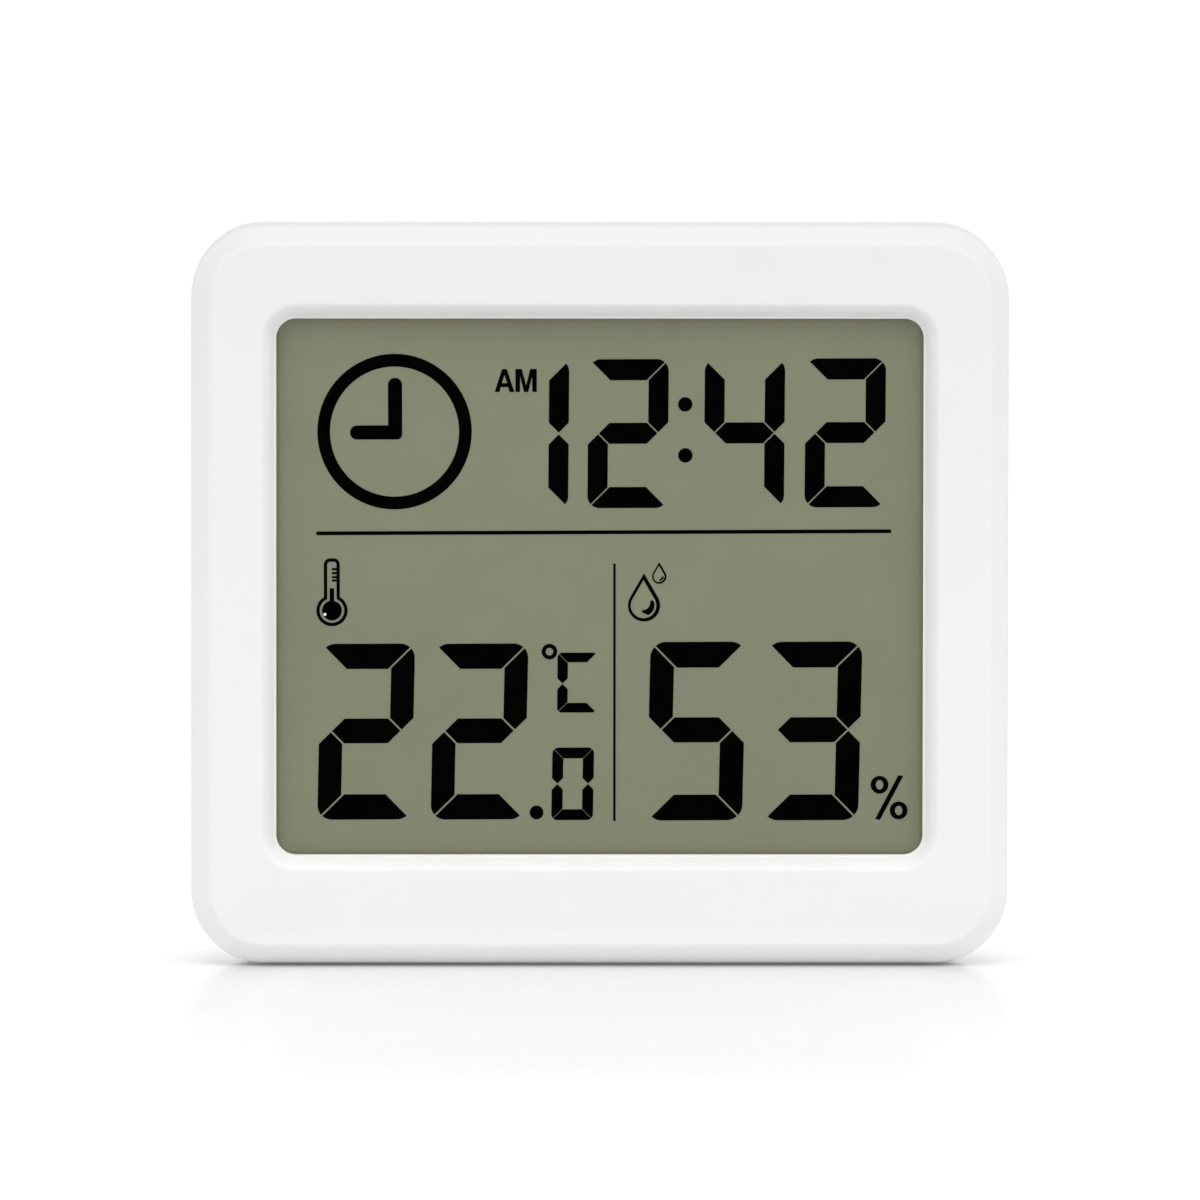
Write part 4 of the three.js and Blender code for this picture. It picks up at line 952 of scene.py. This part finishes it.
for name, shown, left, foot in DAMP_FIGURES:
    figure(name, shown, left, foot, DAMP_SIZE, DAMP_LEAN_DEG)
rings = [[oval(mid, PERCENT_R), oval(mid, PERCENT_HOLE_R, PERCENT_HOLE_TALL)] for mid in PERCENT_RINGS]
slash_ends = ((SLASH_FOOT, -1), (SLASH_FOOT, 1), (SLASH_TOP, 1), (SLASH_TOP, -1))
slash = [(x + side * SLASH_HALF, z - side * SLASH_FALL) for (x, z), side in slash_ends]
plate_of_ink("percent_sign", rings + [[slash]], INK)
print("humidity figures", DAMP_SIZE["tall"], "mm tall")

# %% [markdown]
# Behind the film lie the glasses and the reflector that make the picture readable, and then the
# works. Little of this shows, only what the air slots, the keyhole and a turned door let through, but
# each piece gets the finish of the real one so that it also holds up by itself.

# %% Glass and reflector
GLASS_SMEAR_MM = 4.0
GLASS_GREENS = ((0.62, 0.70, 0.66), (0.70, 0.77, 0.73))
GLASS_ROUGH = (0.02, 0.07)
GLASS_IOR = 1.52
BRUSH_MM = 0.4
BRUSH_DEEP_MM = 0.004
REFLECTOR_GREYS = ((0.50, 0.51, 0.48), (0.62, 0.63, 0.60))
REFLECTOR_ROUGH = (0.30, 0.45)


def display_glass():
    material, tree, shader = new_finish("display_glass")
    smear = grain(tree, GLASS_SMEAR_MM)
    tree.links.new(two_tone(tree, smear, *GLASS_GREENS), shader.inputs["Base Color"])
    tree.links.new(spread(tree, smear, *GLASS_ROUGH), shader.inputs["Roughness"])
    shader.inputs["IOR"].default_value = GLASS_IOR
    return material


def brushed_reflector():
    material, tree, shader = new_finish("brushed_reflector")
    brush = grain(tree, BRUSH_MM, detail=5.0)
    tree.links.new(two_tone(tree, brush, *REFLECTOR_GREYS), shader.inputs["Base Color"])
    tree.links.new(spread(tree, brush, *REFLECTOR_ROUGH), shader.inputs["Roughness"])
    tree.links.new(relief(tree, brush, BRUSH_DEEP_MM), shader.inputs["Normal"])
    shader.inputs["Metallic"].default_value = 1.0
    return material


dress(display_glass(), "lcd_front_glass", "lcd_rear_glass")
dress(brushed_reflector(), "lcd_reflector")

# %% [markdown]
# The strip that carries the signals from board to glass is rubber in hundreds of thin layers, one
# conducting and one not, so it looks finely striped along its length. A wave texture along X gives
# the layers: at scale 1 it repeats every 2 pi / 20, which sets its scale for a given pitch. The foam
# strip that presses the glass forward is dark and full of small cells, which a cell texture gives as
# relief.

# %% Rubber strip and foam
LAYER_PITCH_MM = 0.36
LAYER_GREYS = ((0.03, 0.03, 0.03), (0.42, 0.43, 0.44))
WAVE_REPEAT = 2 * math.pi / 20
FOAM_CELL_MM = 0.3
FOAM_DEEP_MM = 0.08
FOAM_BLACKS = ((0.012, 0.012, 0.013), (0.05, 0.05, 0.052))


def layered_rubber():
    material, tree, shader = new_finish("layered_rubber")
    layers = tree.nodes.new("ShaderNodeTexWave")
    layers.bands_direction = "X"
    layers.inputs["Scale"].default_value = WAVE_REPEAT / (LAYER_PITCH_MM * MM)
    layers.inputs["Distortion"].default_value = 0.2
    tree.links.new(place_on_piece(tree), layers.inputs["Vector"])
    tree.links.new(two_tone(tree, layers.outputs["Fac"], *LAYER_GREYS), shader.inputs["Base Color"])
    shader.inputs["Roughness"].default_value = 0.7
    return material


def cell_foam():
    material, tree, shader = new_finish("cell_foam")
    cells = tree.nodes.new("ShaderNodeTexVoronoi")
    cells.inputs["Scale"].default_value = 1 / (FOAM_CELL_MM * MM)
    tree.links.new(place_on_piece(tree), cells.inputs["Vector"])
    hollow = cells.outputs["Distance"]
    tree.links.new(two_tone(tree, hollow, *FOAM_BLACKS, low=0.1, high=0.8), shader.inputs["Base Color"])
    tree.links.new(relief(tree, hollow, FOAM_DEEP_MM), shader.inputs["Normal"])
    shader.inputs["Roughness"].default_value = 0.95
    return material


dress(layered_rubber(), "zebra_strip")
dress(cell_foam(), "foam_strip")

# %% [markdown]
# A circuit board is woven glass under a green lacquer, with copper tracks that show as slightly
# lighter, raised lines. The tracks are the joints of a brick pattern whose bricks are very long and
# low, so most of them run side by side. A fine weave makes the lacquer's gloss uneven.

# %% Circuit board
TRACK_PITCH_MM = 0.8
TRACK_LONG_MM = 13
TRACK_DEEP_MM = 0.03
TRACK_GREEN = (0.030, 0.170, 0.060, 1)
BOARD_ROUGH = (0.25, 0.38)
BOARD_GREENS = ((0.010, 0.085, 0.030, 1), (0.012, 0.095, 0.034, 1))
ROW_HEIGHT = 0.25
ROW_SHIFT = 0.37
ROW_SHIFT_EVERY = 3
WEAVE_MM = 0.5


def green_board():
    material, tree, shader = new_finish("green_board")
    flat = tree.nodes.new("ShaderNodeMapping")
    flat.inputs["Rotation"].default_value = (math.pi / 2, 0, 0)
    tree.links.new(place_on_piece(tree), flat.inputs["Vector"])
    tracks = tree.nodes.new("ShaderNodeTexBrick")
    tracks.offset = ROW_SHIFT
    tracks.offset_frequency = ROW_SHIFT_EVERY
    tracks.inputs["Scale"].default_value = ROW_HEIGHT / (TRACK_PITCH_MM * MM)
    tracks.inputs["Row Height"].default_value = ROW_HEIGHT
    tracks.inputs["Brick Width"].default_value = ROW_HEIGHT * TRACK_LONG_MM / TRACK_PITCH_MM
    tracks.inputs["Mortar Size"].default_value = 0.03
    tracks.inputs["Mortar Smooth"].default_value = 0.2
    tracks.inputs["Color1"].default_value = BOARD_GREENS[0]
    tracks.inputs["Color2"].default_value = BOARD_GREENS[1]
    tracks.inputs["Mortar"].default_value = TRACK_GREEN
    tree.links.new(flat.outputs["Vector"], tracks.inputs["Vector"])
    weave = grain(tree, WEAVE_MM)
    tree.links.new(tracks.outputs["Color"], shader.inputs["Base Color"])
    tree.links.new(relief(tree, tracks.outputs["Fac"], TRACK_DEEP_MM), shader.inputs["Normal"])
    tree.links.new(spread(tree, weave, *BOARD_ROUGH), shader.inputs["Roughness"])
    return material


dress(green_board(), "main_board")

# %% [markdown]
# The metal pieces are steel, nickel on the coin cell, zinc on the screws, and a springy copper alloy
# for the contacts. Their finish is the same kind of thing: a metal colour that is a little uneven,
# fine scratches in the roughness and a shallow relief. So one function makes all three, and only the
# colours and the roughness differ.

# %% Screws, cell and contacts
SCRATCH_MM = 0.25
SCRATCH_DEEP_MM = 0.003
CASE_SCREWS = [f"case_screw_{n}" for n in range(1, 5)]
BOARD_SCREWS = [f"board_screw_{n}" for n in range(1, 5)]


def scratched_metal(name, dull, bright, roughness):
    material, tree, shader = new_finish(name)
    scratch = grain(tree, SCRATCH_MM, detail=6.0)
    tree.links.new(two_tone(tree, scratch, dull, bright), shader.inputs["Base Color"])
    tree.links.new(spread(tree, scratch, *roughness), shader.inputs["Roughness"])
    tree.links.new(relief(tree, scratch, SCRATCH_DEEP_MM), shader.inputs["Normal"])
    shader.inputs["Metallic"].default_value = 1.0
    return material


zinc_screw = scratched_metal("zinc_screw", (0.52, 0.53, 0.54), (0.66, 0.67, 0.68), (0.28, 0.42))
nickel_can = scratched_metal("nickel_can", (0.60, 0.59, 0.57), (0.72, 0.71, 0.69), (0.22, 0.34))
contact_spring = scratched_metal("contact_spring", (0.66, 0.52, 0.30), (0.76, 0.62, 0.38), (0.25, 0.38))
dress(zinc_screw, *CASE_SCREWS, *BOARD_SCREWS)
dress(nickel_can, "coin_cell", "crystal")
dress(contact_spring, "positive_contact", "negative_contact")

# %% [markdown]
# The dark pieces are a drop of cast resin over the controller and moulded nylon, and the capacitors are
# brown ceramic. None of them is metal, so they share one recipe: a speckle of a given size that sets
# colour, roughness and relief together.

# %% Resin, ceramic and dark plastic
CAPACITORS = [f"capacitor_{n}" for n in range(1, 4)]
SWITCHES = [f"{key}_switch{piece}" for key in ("set", "adjust") for piece in ("", "_plunger")]


def grained_solid(name, dark, light, roughness, grain_mm, depth_mm):
    material, tree, shader = new_finish(name)
    speckle = grain(tree, grain_mm)
    tree.links.new(two_tone(tree, speckle, dark, light), shader.inputs["Base Color"])
    tree.links.new(spread(tree, speckle, *roughness), shader.inputs["Roughness"])
    tree.links.new(relief(tree, speckle, depth_mm), shader.inputs["Normal"])
    return material


cast_resin = grained_solid(
    "cast_resin", (0.008, 0.008, 0.009), (0.016, 0.016, 0.017), (0.18, 0.30), grain_mm=1.5, depth_mm=0.01
)
brown_ceramic = grained_solid(
    "brown_ceramic", (0.30, 0.20, 0.11), (0.40, 0.28, 0.17), (0.35, 0.50), grain_mm=0.2, depth_mm=0.004
)
dark_nylon = grained_solid(
    "dark_nylon", (0.012, 0.012, 0.013), (0.022, 0.022, 0.023), (0.40, 0.55), grain_mm=0.15, depth_mm=0.006
)
dress(cast_resin, "driver_chip")
dress(brown_ceramic, *CAPACITORS)
dress(dark_nylon, "cell_holder", "climate_sensor", *SWITCHES)

# %% [markdown]
# Last comes a look at the whole: the solids that don't have exactly one finish are listed. Ink this thin
# hides behind the rim of the window, so the dressed hygrometer fills the same box as the imported one.

# %% List the solids without a finish
bare = [name for name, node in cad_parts.items() if len(node.data.materials) != 1]
print("solids without a finish:", bare or "none")
